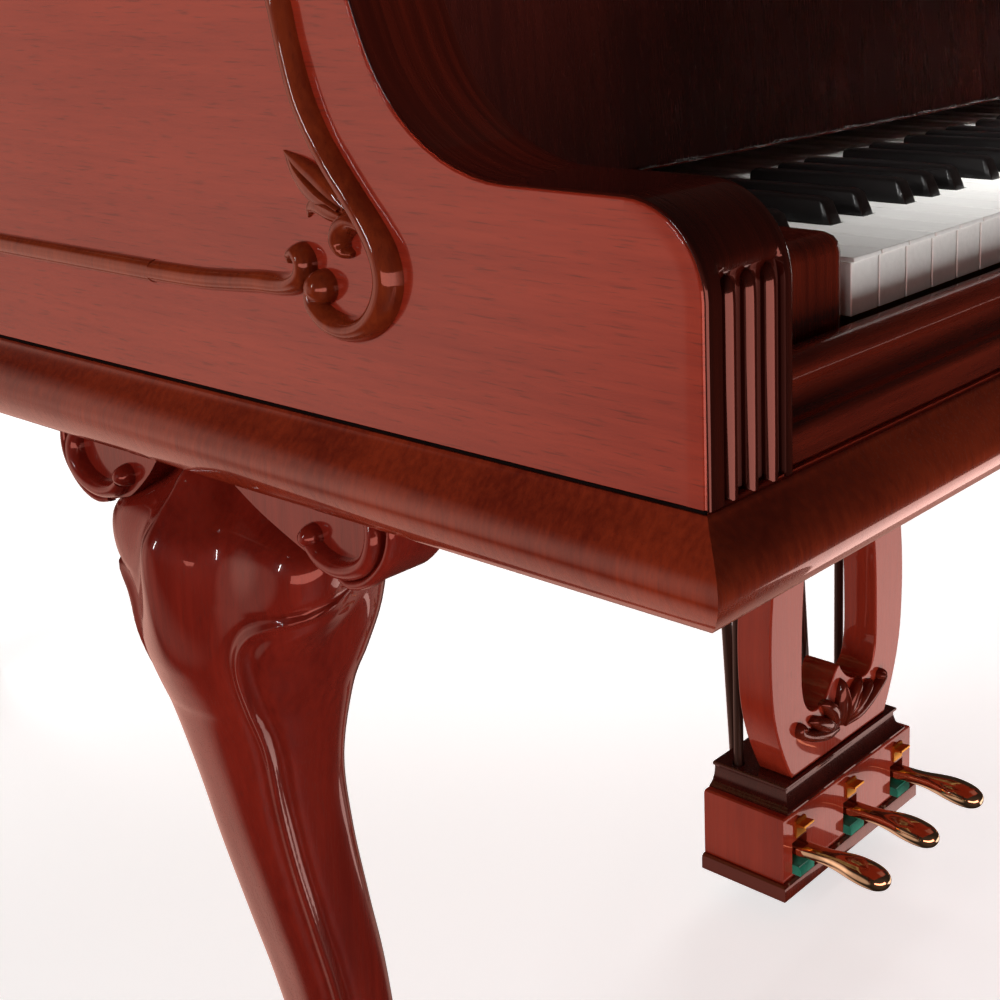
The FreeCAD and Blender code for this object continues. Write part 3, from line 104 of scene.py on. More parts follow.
# %% Shader helpers
class Value:
    """A socket of a tree that takes part in Python sums."""

    def __init__(self, tree, socket):
        self.tree, self.socket = tree, socket

    def maths(self, operation, first, second):
        return self.tree.node("ShaderNodeMath", {"operation": operation}, {0: first, 1: second})

    def __add__(self, other):
        return self.maths("ADD", self, other)

    def __mul__(self, other):
        return self.maths("MULTIPLY", self, other)

    def __sub__(self, other):
        return self.maths("SUBTRACT", self, other)

    def __rsub__(self, other):
        return self.maths("SUBTRACT", other, self)

    __radd__, __rmul__ = __add__, __mul__

    def between(self, low, high):
        """0 under low, 1 over high, smooth in between."""
        return self.tree.node("ShaderNodeMapRange", {"interpolation_type": "SMOOTHSTEP"},
                              {"Value": self, "From Min": low, "From Max": high})


class Tree:
    """A tree of nodes: each is added with its settings first and then its sockets."""

    def __init__(self, nodes):
        self.tree = nodes

    def node(self, kind, settings=None, inputs=None, out=0):
        made = self.tree.nodes.new(kind)
        for key, value in (settings or {}).items():
            setattr(made, key, value)
        for key, value in (inputs or {}).items():
            self.feed(made.inputs[key], value)
        return Value(self, made.outputs[out])

    def feed(self, socket, value):
        if isinstance(value, Value):
            self.tree.links.new(value.socket, socket)
        else:
            socket.default_value = value


class Finish(Tree):
    """A procedural material built round one Principled shader."""

    def __init__(self, name, fixed):
        self.material = bpy.data.materials.new(name)
        self.material.use_nodes = True
        super().__init__(self.material.node_tree)
        self.shader = self.tree.nodes["Principled BSDF"]
        self.take(fixed)

    def take(self, sockets):
        for key, value in sockets.items():
            self.feed(self.shader.inputs[key], value)

    def colours(self, share, first, second):
        """Mix two colours; each may be a socket or three numbers."""
        pair = [c if isinstance(c, Value) else (*c, 1) for c in (first, second)]
        return self.node("ShaderNodeMix", {"data_type": "RGBA"},
                         {0: share, 6: pair[0], 7: pair[1]}, 2)

    def place(self):
        return self.node("ShaderNodeTexCoord", out="Object")

    def noise(self, place, scale, detail=3.0, rough=0.55, seed=0.0):
        """Noise with its own number of waves per metre along X, Y and Z."""
        spread = self.node("ShaderNodeMapping", None,
                           {"Vector": place, "Scale": scale, "Location": (seed, 2 * seed, 3 * seed)})
        return self.node("ShaderNodeTexNoise", None,
                         {"Vector": spread, "Scale": 1.0, "Detail": detail, "Roughness": rough})

    def bump(self, height, depth, strength=1.0):
        return self.node("ShaderNodeBump", None,
                         {"Height": height, "Distance": depth, "Strength": strength})


print("shader helpers ready")

# %% [markdown]
# ## Mahogany under lacquer
# The case is veneered in red-stained mahogany. Close up, the wood has short dark pores along the
# grain, soft ribbons of lighter and darker wood, and a clear coat on top that mirrors the room.
# Noise that is stretched along the grain gives all three. `ALONG` says which way a board's grain
# runs; the rim's runs level round the case, so only height changes it quickly.

# %% Wood
ALONG = {"level": (0.05, 0.05, 1.0), "upright": (1.0, 1.0, 0.05), "length": (1.0, 0.05, 1.0),
         "across": (0.05, 1.0, 1.0), "arm": (1.0, 0.02, 0.02), "crossband": (1.0, 1.0, 0.012)}
LACQUER = {"Coat Weight": 1.0, "Coat Roughness": 0.03, "Coat IOR": 1.5, "IOR": 1.45,
           "Specular IOR Level": 0.12}
STREAK_WAVES, PORE_WAVES, CLOUD_WAVES = 330.0, 1100.0, (3.0, 3.0, 3.0)  # for each metre


def timber(name, grain, dark, light, pore, lacquer=LACQUER, gloss=0.3, pores=0.28, ribbon=30.0):
    """A planed board: ribbons of two tones, fine pores, and a finish over them."""
    finish = Finish(name, lacquer)
    place = finish.place()
    run = np.array(ALONG[grain])
    ribbons = finish.noise(place, run * ribbon, 4.0, 0.55, 3.1)
    streaks = finish.noise(place, run * STREAK_WAVES, 3.0, 0.6, 7.7)
    dashes = finish.noise(place, run * PORE_WAVES, 2.0, 0.5, 1.3)
    cloud = finish.noise(place, CLOUD_WAVES, 2.0, 0.5, 5.9)
    tone = (ribbons * 0.4 + streaks * 0.3 + cloud * 0.3).between(0.32, 0.68)
    open_pore = dashes.between(0.55, 0.72)
    colour = finish.colours(tone, dark, light)
    finish.take({"Base Color": finish.colours(open_pore * pores, colour, pore),
                 "Roughness": gloss + open_pore * 0.12 - tone * 0.08,
                 "Normal": finish.bump(1 - open_pore, 0.000012, 0.25)})
    return finish.material


RED_DARK, RED_LIGHT, RED_PORE = (0.200, 0.0150, 0.0070), (0.300, 0.0300, 0.0130), (0.050, 0.006, 0.003)
rim_wood = timber("mahogany_level", "level", RED_DARK, RED_LIGHT, RED_PORE, pores=0.5)
upright_wood = timber("mahogany_upright", "upright", RED_DARK, RED_LIGHT, RED_PORE)
length_wood = timber("mahogany_length", "length", RED_DARK, RED_LIGHT, RED_PORE)
across_wood = timber("mahogany_across", "across", RED_DARK, RED_LIGHT, RED_PORE)
# Painted shade: a near-black copy of the mahogany for the fallboard and the hollow cove of the pedal box.
# It is darker than the case wood and stands for the shade they lie in.
near_black_painted_shade = timber("mahogany_fallboard", "upright", (0.022, 0.0032, 0.0026), (0.055, 0.0075, 0.0048),
                    (0.008, 0.0015, 0.0015))
leg_wood = timber("mahogany_leg", "upright", (0.098, 0.0058, 0.0034), (0.190, 0.0140, 0.0075),
                  (0.035, 0.004, 0.002))
# Painted shade: a darker copy of the mahogany for the arm cheeks, key blocks, lyre leaves and pedal box
# plinth. It stands for the shade on the front of the piano.
front_painted_shade = timber("mahogany_front", "arm", (0.040, 0.0036, 0.0018), (0.135, 0.0130, 0.0048),
                    (0.014, 0.002, 0.0015), pores=0.15, ribbon=90.0)
slip_wood = timber("mahogany_slip", "across", (0.050, 0.0045, 0.0024), (0.140, 0.0140, 0.0056),
                   (0.018, 0.002, 0.0015), ribbon=70.0)
moulding_wood = timber("mahogany_crossband", "crossband", (0.090, 0.0072, 0.0032), (0.250, 0.0300, 0.0095),
                       (0.060, 0.006, 0.003), ribbon=14.0)
carved_wood = timber("mahogany_carved", "upright", (0.110, 0.0120, 0.0042), (0.250, 0.0360, 0.0090),
                     (0.060, 0.007, 0.003), gloss=0.16)
# Painted shade: a nearly black copy of the mahogany for the arm facings, linings and reeds. It stands for
# the shade over the arm fronts and tops.
arm_painted_shade = timber("mahogany_arm", "arm", (0.014, 0.0014, 0.0008), (0.055, 0.0050, 0.0022),
                  (0.012, 0.0015, 0.001), pores=0.15, ribbon=90.0)
print("woods:", [m.name for m in bpy.data.materials if m.name.startswith("mahogany")])

# %% [markdown]
# ## The other finishes
# Inside the case the woods are bare: spruce for the soundboard, maple and beech for bridges and
# action. The plate is bronze paint on cast iron, the strings are steel and copper, the keys a
# creamy white, the hammers felt, and the pedals polished brass.

# %% Other finishes
BARE = {"IOR": 1.45}
spruce_wood = timber("spruce", "length", (0.52, 0.30, 0.13), (0.66, 0.44, 0.22), (0.36, 0.19, 0.08), BARE,
                     0.42, 0.4, 140.0)
maple_wood = timber("maple", "across", (0.50, 0.31, 0.15), (0.62, 0.43, 0.24), (0.40, 0.23, 0.11), BARE,
                    0.5, 0.25, 30.0)
ebony_wood = timber("key_black", "length", (0.0035, 0.0032, 0.0032), (0.011, 0.010, 0.010),
                    (0.002, 0.002, 0.002), {"IOR": 1.5, "Coat Weight": 0.35, "Coat Roughness": 0.12}, 0.34)
# Painted shadow: a matte black for the thin round bar along the panel's foot. It stands for the shadow gap
# above the base moulding.
painted_shadow_black = timber("ebonised_line", "across", (0.0025, 0.0018, 0.0018), (0.006, 0.004, 0.004),
                    (0.002, 0.001, 0.001), {"IOR": 1.3, "Specular IOR Level": 0.1}, 0.8)
dowel_wood = timber("dark_dowel", "upright", (0.018, 0.008, 0.006), (0.040, 0.018, 0.012),
                    (0.008, 0.004, 0.003), BARE, 0.35)


def metal(name, dark, light, rough, waves=(90.0, 90.0, 90.0), metallic=1.0, depth=0.00003):
    """Bare or painted metal: small changes of tone and gloss, and a faint hand-finished surface."""
    finish = Finish(name, {"Metallic": metallic})
    place = finish.place()
    haze = finish.noise(place, waves, 4.0, 0.6, 2.3)
    worn = finish.noise(place, np.array(waves) * 0.12, 2.0, 0.5, 8.1)
    share = (haze * 0.5 + worn * 0.5).between(0.35, 0.65)
    finish.take({"Base Color": finish.colours(share, dark, light), "Roughness": rough + haze * rough * 0.7,
                 "Normal": finish.bump(haze, depth, 0.3)})
    return finish.material


brass = metal("brass", (0.60, 0.60, 0.38), (0.82, 0.82, 0.58), 0.07)
guide_brass = metal("brass_guide", (0.70, 0.42, 0.06), (0.90, 0.60, 0.12), 0.28)
plate_paint = metal("plate_bronze", (0.36, 0.20, 0.07), (0.52, 0.32, 0.12), 0.30,
                    (400.0, 400.0, 400.0), 0.75)
steel = metal("steel_wire", (0.46, 0.46, 0.47), (0.66, 0.66, 0.68), 0.18, (900.0, 40.0, 900.0))
copper = metal("copper_wire", (0.50, 0.21, 0.10), (0.72, 0.36, 0.20), 0.22,
               (60.0, 1400.0, 60.0), depth=0.0002)
blued = metal("blued_steel", (0.05, 0.06, 0.09), (0.13, 0.14, 0.18), 0.25)


def felt(name, dark, light):
    """Pressed wool: a mottled tone and a short fuzz."""
    finish = Finish(name, {"Roughness": 0.95, "Sheen Weight": 0.35, "Sheen Roughness": 0.5, "IOR": 1.3})
    place = finish.place()
    fuzz = finish.noise(place, (1500.0,) * 3, 3.0, 0.7, 4.4)
    mottle = finish.noise(place, (120.0,) * 3, 2.0, 0.5, 9.2)
    finish.take({"Base Color": finish.colours((fuzz * 0.6 + mottle * 0.4).between(0.3, 0.7), dark, light),
                 "Normal": finish.bump(fuzz, 0.0003, 0.6)})
    return finish.material


green_felt = felt("felt_green", (0.002, 0.130, 0.080), (0.006, 0.260, 0.160))


def key_ivory():
    """Key tops: a warm white with a faint lengthwise figure and a soft polish."""
    finish = Finish("key_ivory", {"IOR": 1.45, "Coat Weight": 0.1, "Coat Roughness": 0.15})
    place = finish.place()
    figure = finish.noise(place, (420.0, 22.0, 420.0), 3.0, 0.6, 6.6)
    handled = finish.noise(place, (30.0, 30.0, 30.0), 2.0, 0.5, 2.9)
    finish.take({"Base Color": finish.colours(figure.between(0.3, 0.7), (0.84, 0.83, 0.80),
                                              (0.89, 0.88, 0.85)),
                 "Roughness": 0.34 + handled * 0.06, "Normal": finish.bump(figure, 0.00001, 0.1)})
    return finish.material


ivory = key_ivory()


def split_by(name, axis, level, soft, low, high, rough):
    """One body of two stuffs that change at a level, such as a felt head on a wooden shank."""
    finish = Finish(name, {"IOR": 1.4})
    place = finish.place()
    parts = finish.node("ShaderNodeSeparateXYZ", None, {0: place}, axis)
    fuzz = finish.noise(place, (500.0,) * 3, 3.0, 0.6, 1.7)
    share = (parts + fuzz * soft).between(level, level + soft)
    shade = 0.75 + fuzz * 0.5
    low_tone = finish.colours(shade * 0.5, (0.0, 0.0, 0.0), low)
    high_tone = finish.colours(shade * 0.5, (0.0, 0.0, 0.0), high)
    finish.take({"Base Color": finish.colours(share, low_tone, high_tone), "Roughness": rough + fuzz * 0.2,
                 "Normal": finish.bump(fuzz, 0.0002, 0.4)})
    return finish.material


hammer_stuff = split_by("hammer_felt", "Y", -0.412, 0.002, (0.95, 0.66, 0.38), (1.55, 1.50, 1.38), 0.6)
damper_stuff = split_by("damper_black", "Z", 0.8765, 0.001, (1.5, 1.45, 1.35), (0.03, 0.028, 0.028), 0.4)
print("finishes:", len(bpy.data.materials))

# %% [markdown]
# ## Dress the CAD pieces
# A CAD piece whose shape is right stays as it is and only takes a finish. The table below is the
# piano maker's cutting list: which stuff each piece is made of. Pieces that a carved or rounded
# copy stands for further down are listed too, so that nothing is left bare.

# %% Finishes for the CAD pieces
CUTTING_LIST = {
    rim_wood: ("outer_rim", "inner_rim", "desk_runners"),
    across_wood: ("keybed", "name_rail", "music_tray", "music_desk"),
    slip_wood: ("key_slip",),
    # painted shade: the arm cheeks and key blocks take the darker front copy of the mahogany
    front_painted_shade: ("arm_cheeks", "key_blocks"),
    upright_wood: ("lyre", "pedal_box", "leg_brackets"),
    leg_wood: ("front_left_leg", "front_right_leg", "rear_leg"),
    moulding_wood: ("base_moulding",),
    carved_wood: ("side_beads",),
    length_wood: ("main_lid", "front_lid", "lid_prop", "prop_bracket", "prop_cup"),
    # painted shade: the fallboard takes the near-black copy of the mahogany
    near_black_painted_shade: ("fallboard",),
    spruce_wood: ("soundboard", "soundboard_ribs", "case_beams"),
    maple_wood: ("bridges", "pin_block", "key_frame", "action_rails"),
    plate_paint: ("iron_plate",),
    blued: ("tuning_pins",),
    steel: ("treble_strings",),
    copper: ("bass_strings",),
    ivory: tuple(f"keys_octave_{n}" for n in range(1, 8)),
    hammer_stuff: tuple(f"hammers_octave_{n}" for n in range(1, 8)),
    damper_stuff: ("dampers",),
    brass: ("left_pedal", "middle_pedal", "right_pedal", "case_hinge_leaves", "lid_hinge_leaves"),
    guide_brass: ("pedal_guides",),
    dowel_wood: ("left_pedal_rod", "middle_pedal_rod", "right_pedal_rod", "lyre_braces"),
}
for stuff, names in CUTTING_LIST.items():
    for name in names:
        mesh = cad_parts[name].data
        mesh.materials.clear()
        mesh.materials.append(stuff)
undressed = set(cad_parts) - {name for names in CUTTING_LIST.values() for name in names}
print("CAD pieces without a finish:", sorted(undressed))

# %% [markdown]
# ## Making and hanging pieces
# Most carved work is a section carried along a line, which is a grid of points: one row for each
# place on the line. `skin` turns such rows into a closed mesh, with its faces outwards. `hang`
# links the finished piece and makes it move with its body.

# %% Mesh helpers
WELD, SLIVER = 2e-6, 1e-7


def smoothed(mesh, angle):
    """Shade a mesh smooth, with edges sharp only over an angle in degrees."""
    mesh.shade_smooth()
    mesh.set_sharp_from_angle(angle=math.radians(angle))
    return mesh


def tidy_mesh(name, points, faces, angle):
    """A mesh with doubles merged and faces outwards."""
    mesh = bpy.data.meshes.new(name)
    mesh.from_pydata([tuple(p) for p in points], [], faces)
    work = bmesh.new()
    work.from_mesh(mesh)
    bmesh.ops.remove_doubles(work, verts=work.verts, dist=WELD)
    bmesh.ops.dissolve_degenerate(work, edges=work.edges, dist=SLIVER)
    bmesh.ops.recalc_face_normals(work, faces=work.faces)
    work.to_mesh(mesh)
    work.free()
    return smoothed(mesh, angle)


def skin_faces(count, size, start=0, loop=False):
    """Quads between rings of points, and a face over each end unless the rings meet in a loop."""
    faces = []
    for i in range(count if loop else count - 1):
        for j in range(size):
            k = (j + 1) % size
            a, b = start + i * size, start + (i + 1) % count * size
            faces.append((a + j, a + k, b + k, b + j))
    if not loop:
        faces += [tuple(end + j for j in range(size)) for end in (start, start + (count - 1) * size)]
    return faces


def skin(name, shells, angle=40.0, loop=False):
    """One mesh from several shells, each a list of rings of points."""
    points, faces = [], []
    for rings in shells:
        rings = np.asarray(rings, float)
        faces += skin_faces(rings.shape[0], rings.shape[1], len(points), loop)
        points += rings.reshape(-1, 3).tolist()
    return tidy_mesh(name, points, faces, angle)


def hang(name, mesh, stuff, body, slot, *stands_for):
    """Link a mesh as a finished piece that rides on a body."""
    mesh.materials.clear()
    mesh.materials.append(stuff)
    piece = link(name, mesh)
    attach(piece, body)
    if stands_for:
        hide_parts(*stands_for)
    print(name, "on", body, len(mesh.polygons), "faces")


def worked(name, mesh, add_modifiers):
    """A plain mesh of what modifiers make of another mesh."""
    raw = link(name + "_raw", mesh)
    add_modifiers(raw)
    done = bpy.data.meshes.new_from_object(
        raw.evaluated_get(bpy.context.evaluated_depsgraph_get()))
    bpy.data.objects.remove(raw)
    done.name = name
    return done


def flowing(points, steps=10):
    """A smooth line through points of any width (Catmull-Rom)."""
    p = np.asarray(points, float)
    p = np.vstack([2 * p[0] - p[1], p, 2 * p[-1] - p[-2]])
    t = np.linspace(0, 1, steps, endpoint=False)[:, None]
    runs = [0.5 * (2 * b + (c - a) * t + (2 * a - 5 * b + 4 * c - d) * t ** 2
                   + (3 * b - a - 3 * c + d) * t ** 3)
            for a, b, c, d in zip(p, p[1:], p[2:], p[3:])]
    return np.vstack(runs + [p[-2:-1]])


def box_rings(low, high):
    """A plain board as two rings, for parts of a larger mesh."""
    (x0, y0, z0), (x1, y1, z1) = low, high
    return [[(x0, y0, z), (x1, y0, z), (x1, y1, z), (x0, y1, z)] for z in (z0, z1)]


def carried(section, places):
    """Rings of a (Y, Z) section set at several X, millimetres to metres."""
    return [[(x * MM, y * MM, z * MM) for y, z in section] for x in places]


print("mesh helpers ready")

# %% [markdown]
# ## Polished boards
# No lacquered board has a knife edge: the polisher rubs every corner over, and that thin round is
# what draws a bright line along the arm and round the panel. We copy the CAD board, join its loose
# triangles into whole faces and let a Bevel modifier round the sharp edges. The copy then stands
# for the CAD node. On the rim's copy the points of the arms are moved a little as well: the nose
# is planed back to make room for its facing, and the rise behind it gets the photograph's tighter
# curve.

# %% Rounded copies of boards
BOARD_ANGLE, BOARD_WELD, FLAT_ANGLE = 35.0, 1e-5, 0.2
CASE_SIDE = 750.0
NOSE, NOSE_ROOM = (-837.0, 743.0), 6.0
CAD_RISE, CAD_RISE_RADIUS, CAD_RISE_TURN = (-770.0, 881.0), 102.0, 80.0
RISE, RISE_RADIUS, RISE_TURN = (-780.0, 863.5), 84.5, 69.5
NEAR_NOSE, NEAR_SIDE, NEAR_RISE, NEAR_TURN = 0.5, 2.0, 2.5, 0.5  # how close a point has to lie


def rounding(radius, segments, angle, clamp):
    """Makes the function that adds a Bevel modifier to a raw piece."""
    def add(raw):
        rub = raw.modifiers.new("rubbed_edges", "BEVEL")
        rub.width, rub.segments = radius, segments
        rub.limit_method, rub.angle_limit = "ANGLE", math.radians(angle)
        rub.use_clamp_overlap, rub.harden_normals = clamp, True
    return add


def softened(node, name, radius):
    """A copy of a CAD board with its corners rubbed round."""
    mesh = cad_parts[node].data.copy()
    work = bmesh.new()
    work.from_mesh(mesh)
    bmesh.ops.remove_doubles(work, verts=work.verts, dist=BOARD_WELD)
    bmesh.ops.dissolve_limit(work, angle_limit=math.radians(FLAT_ANGLE), verts=work.verts,
                             edges=work.edges)
    work.to_mesh(mesh)
    work.free()
    return worked(name, smoothed(mesh, BOARD_ANGLE), rounding(radius, 3, BOARD_ANGLE, False))


def rim_polished():
    """The rim with its noses planed back under the facing, and a tighter rise behind them."""
    mesh = softened("outer_rim", "rim_polished", 1.2 * MM)
    centre = Vector((0, NOSE[0] * MM, NOSE[1] * MM))
    for point in mesh.vertices:
        if (point.co.y < (NOSE[0] + NEAR_NOSE) * MM and point.co.z > (NOSE[1] - NEAR_NOSE) * MM
                and abs(point.co.x) < (CASE_SIDE - NEAR_SIDE) * MM):
            away = point.co - centre
            away.x = 0
            point.co -= away.normalized() * min(NOSE_ROOM * MM, away.length)
        y, z = point.co.y / MM - CAD_RISE[0], point.co.z / MM - CAD_RISE[1]
        depth, turn = math.hypot(y, z) - CAD_RISE_RADIUS, math.degrees(math.atan2(z, y)) + 90
        if abs(depth) < NEAR_RISE and -NEAR_TURN < turn < CAD_RISE_TURN + NEAR_TURN:
            turn = math.radians(turn * RISE_TURN / CAD_RISE_TURN - 90)
            point.co.y = (RISE[0] + (RISE_RADIUS + depth) * math.cos(turn)) * MM
            point.co.z = (RISE[1] + (RISE_RADIUS + depth) * math.sin(turn)) * MM
    return mesh


hang("rim_polished", rim_polished(), rim_wood, "case", "mahogany_gloss", "outer_rim")
# painted shade: the key blocks take the darker front copy of the mahogany
hang("key_blocks_rounded", softened("key_blocks", "key_blocks_rounded", 9.0 * MM), front_painted_shade, "case",
     "mahogany_gloss", "key_blocks")
BOARDS = (("main_lid", "lid", length_wood), ("front_lid", "front_lid", length_wood),
          # painted shade: the fallboard takes the near-black copy of the mahogany
          ("fallboard", "fallboard", near_black_painted_shade), ("music_tray", "music_tray", across_wood),
          ("music_desk", "music_desk", across_wood))
for node, body, stuff in BOARDS:
    name = node + "_polished"
    hang(name, softened(node, name, 2.5 * MM), stuff, body, "mahogany_gloss", node)

# %% [markdown]
# ## Arm fronts
# Each arm ends in a front that runs over a round nose and back up the rise. One facing covers the
# joint of rim and lining all the way, so we make it as one grid: rows follow the arm's side view,
# and each row is the same section across the arm. A recess for the reeds is sunk in its front and
# runs out where the nose begins. Behind the rise the inner edge is drawn back to the rim, because
# the music tray slides past there. A thin strip continues the side panel to the arm's front, and a
# lining board closes the arm on the key side.

# %% Arm facing and lining
ARM_FRONT, ARM_FOOT, NOSE_RADIUS = -873.0, 667.2, 36.0
RECESS, RECESS_OUTER, RECESS_INNER, RECESS_SLOPE = 4.6, -740.0, -700.0, 1.2
RECESS_TOP, RECESS_FADE, SINK_FROM, SINK_RUN = 757.0, 8.0, 0.93, 0.07
RECESS_X = (-740, -739.4, -738.8, -733, -727, -720, -713, -707, -701.2, -700.6, -700)
TRAY_LOW, TRAY_ROOM, TRAY_RUN_OUT = 924.0, -706.8, 26.0
SLOPE_TOP, TOP_CORNER, TOP_RADIUS = (-652.4, 957.7), (-618.7, 949.9), 35.0
LINING_IN, LINING_BACK, LINING_FOOT, LINING_X = 2.0, -655.5, (-871.0, 668.0), (-706, -694)
PROUD, INNER_X = 0.85, -693.8
OUTER_EDGE = [(-747.5, -8.5), (-748.6, -2.0), (-749.0, -0.6), (-748.8, 0.2), (-748.4, 0.65),
              (-747.9, PROUD), (-747.4, PROUD), (-746.6, PROUD), (-743.6, PROUD)]
INNER_EDGE = [(-696.0, PROUD), (-694.9, 0.5), (-694.1, -0.4), (INNER_X, -1.6), (INNER_X, -8.5)]
EDGE_PLATE = [(-748.0, -9.0), (-750.15, -9.0), (-750.15, -1.6), (-749.8, -0.7), (-749.0, -0.3),
              (-748.0, -0.3)]


def arc_points(centre, radius, first, last, count):
    return [(centre[0] + radius * math.cos(math.radians(a)),
             centre[1] + radius * math.sin(math.radians(a))) for a in np.linspace(first, last, count)]


def arm_view():
    """Side view of an arm (Y, Z): up its front, over the nose, along the flat and up the rise."""
    front = [(ARM_FRONT, z) for z in np.linspace(ARM_FOOT, NOSE[1], 50)]
    nose = arc_points(NOSE, NOSE_RADIUS, 180, 90, 36)[1:]
    flat = [(y, NOSE[1] + NOSE_RADIUS) for y in np.linspace(NOSE[0], RISE[0], 9)[1:-1]]
    rise = arc_points(RISE, RISE_RADIUS, -90, RISE_TURN - 90, 40)
    slope = [tuple(p) for p in np.linspace(rise[-1], SLOPE_TOP, 14)[1:-1]]
    corner = arc_points(TOP_CORNER, TOP_RADIUS, 165, 118, 14)
    return np.array(front + nose + flat + rise + slope + corner)


ARM = arm_view()
ARM_RUN = np.gradient(ARM, axis=0)
ARM_RUN /= np.linalg.norm(ARM_RUN, axis=1)[:, None]
ARM_OUT = np.c_[-ARM_RUN[:, 1], ARM_RUN[:, 0]]


def eased(share):
    """A share held between 0 and 1 that starts and ends softly."""
    share = min(max(share, 0.0), 1.0)
    return share * share * (3 - 2 * share)


def past_tray(x, z):
    """The facing's inner part, drawn back to the rim where the music tray slides past."""
    if x < RECESS_OUTER:
        return x
    kept = (TRAY_ROOM - RECESS_OUTER) / (INNER_X - RECESS_OUTER)
    drawn = eased((z - TRAY_LOW + TRAY_RUN_OUT) / TRAY_RUN_OUT)
    return RECESS_OUTER + (x - RECESS_OUTER) * (1 - drawn * (1 - kept))


def arm_strip(sign, at, out, section):
    """One row across an arm, (X, proud), at a place of its side view."""
    return [(sign * x * MM, (at[0] + out[0] * h) * MM, (at[1] + out[1] * h) * MM) for x, h in section]


facing_shells, plate_shells, lining_shells = [], [], []
lining = [tuple(p - LINING_IN * o) for p, o in zip(ARM, ARM_OUT) if p[1] < TRAY_LOW]
lining += [(LINING_BACK, TRAY_LOW), (LINING_BACK, LINING_FOOT[1]), LINING_FOOT]
for sign in (1, -1):
    rows = []
    for at, out, step in zip(ARM, ARM_OUT, np.linspace(0, 1, len(ARM))):
        sunk = max(0.0, step - SINK_FROM) / SINK_RUN
        deep = RECESS * eased((RECESS_TOP - at[1]) / RECESS_FADE) if at[0] < NOSE[0] else 0.0
        floor = [(x, PROUD - deep * min(1, (x - RECESS_OUTER) / RECESS_SLOPE,
                                        (RECESS_INNER - x) / RECESS_SLOPE)) for x in RECESS_X]
        rows.append(arm_strip(sign, at, out, [(past_tray(x, at[1]), h - sunk)
                                              for x, h in OUTER_EDGE + floor + INNER_EDGE]))
    facing_shells.append(rows)
    plate_shells.append([arm_strip(sign, at, out, EDGE_PLATE)
                         for at, out in zip(ARM, ARM_OUT) if at[0] < NOSE[0] - 1])
    lining_shells.append(carried(lining, [sign * x for x in LINING_X]))
# painted shade: the facings and linings take the nearly black arm copy of the mahogany
hang("arm_facings", skin("arm_facings", facing_shells, 50), arm_painted_shade, "case", "mahogany_gloss",
     "arm_cheeks")
hang("arm_edge_plates", skin("arm_edge_plates", plate_shells), rim_wood, "case", "mahogany_gloss")
hang("arm_linings", skin("arm_linings", lining_shells), arm_painted_shade, "case", "mahogany_gloss")

# %% [markdown]
# ## Carved work: reeds and beads
# The panel on each side is framed by an applied bead. Its upright follows the arm's rise, swells
# into an open scroll, and throws off a leaf and a small curl. Each piece is a half-round section
# carried along a line drawn on the side of the case, so one function makes them all: it needs the
# line, the half width and the height along it. Lines are given in millimetres, as (Y, Z). The
# reeds of the arm fronts are the same kind of bar, standing in their recess.

# %% Relief carving
KEY_FRONT = -850.0
SECTION = np.linspace(0, math.pi, 13)
KNOB_TURNS, KNOB_SIDES, KNOB_SINK = 7, 20, 2.0


def relief(line, place, power=0.85, sink=2.0):
    """Rings of a carved band. Each point of the line is (across, up, half width, height)."""
    path = flowing(line)
    path[:, 2:] = np.maximum(path[:, 2:], 0.15)
    along = np.gradient(path[:, :2], axis=0)
    along /= np.linalg.norm(along, axis=1)[:, None]
    aside = np.c_[-along[:, 1], along[:, 0]]
    rings = []
    for (s, t, wide, tall), (n0, n1) in zip(path, aside):
        ring = [place(s + n0 * wide * math.cos(a), t + n1 * wide * math.cos(a),
                      tall * math.sin(a) ** power) for a in SECTION]
        ring += [place(s - n0 * wide, t - n1 * wide, -sink), place(s + n0 * wide, t + n1 * wide, -sink)]
        rings.append(ring)
    return rings


def knob(at, radius, tall, place):
    """A carved button: a dome standing on the panel."""
    rounds = [(radius, -KNOB_SINK)]
    for turn in np.linspace(0, math.pi / 2, KNOB_TURNS):
        rounds.append((max(radius * math.cos(turn), 0.02), tall * math.sin(turn)))
    return [[place(at[0] + r * math.cos(b), at[1] + r * math.sin(b), h)
             for b in np.linspace(0, 2 * math.pi, KNOB_SIDES, endpoint=False)] for r, h in rounds]


def front_place(sign):
    """Turns (across, up, proud of the recess) into a place on an arm's front and nose."""
    def place(s, t, h):
        turn = math.asin(min(max((t - NOSE[1]) / NOSE_RADIUS, 0), 1))
        reach = NOSE_RADIUS + h - RECESS
        return (sign * s * MM, (NOSE[0] - reach * math.cos(turn)) * MM,
                (min(t, NOSE[1]) + reach * math.sin(turn)) * MM)
    return place


REEDS, REED_HALF = (-732.0, -719.0, -706.0), 3.8
reed_shells = []
for sign in (1, -1):
    for x in REEDS:
        reed = [(x, ARM_FOOT, REED_HALF, 5.2), (x, 700, REED_HALF, 5.2), (x, 735, REED_HALF, 5.2),
                (x, 744, 3.7, 5.0), (x, 748, 3.0, 4.5), (x, 750.5, 1.7, 3.8), (x, 751.4, 0.3, 3.0)]
        reed_shells.append(relief(reed, front_place(sign), 0.9, 0.5))
# painted shade: the reeds take the nearly black arm copy of the mahogany
hang("arm_reeds", skin("arm_reeds", reed_shells), arm_painted_shade, "case", "mahogany_carved")


def case_side(sign):
    """Turns (behind the key fronts, up, proud of the panel) into a place on one side of the case."""
    return lambda s, t, h: (sign * (CASE_SIDE + h) * MM, (KEY_FRONT + s) * MM, t * MM)


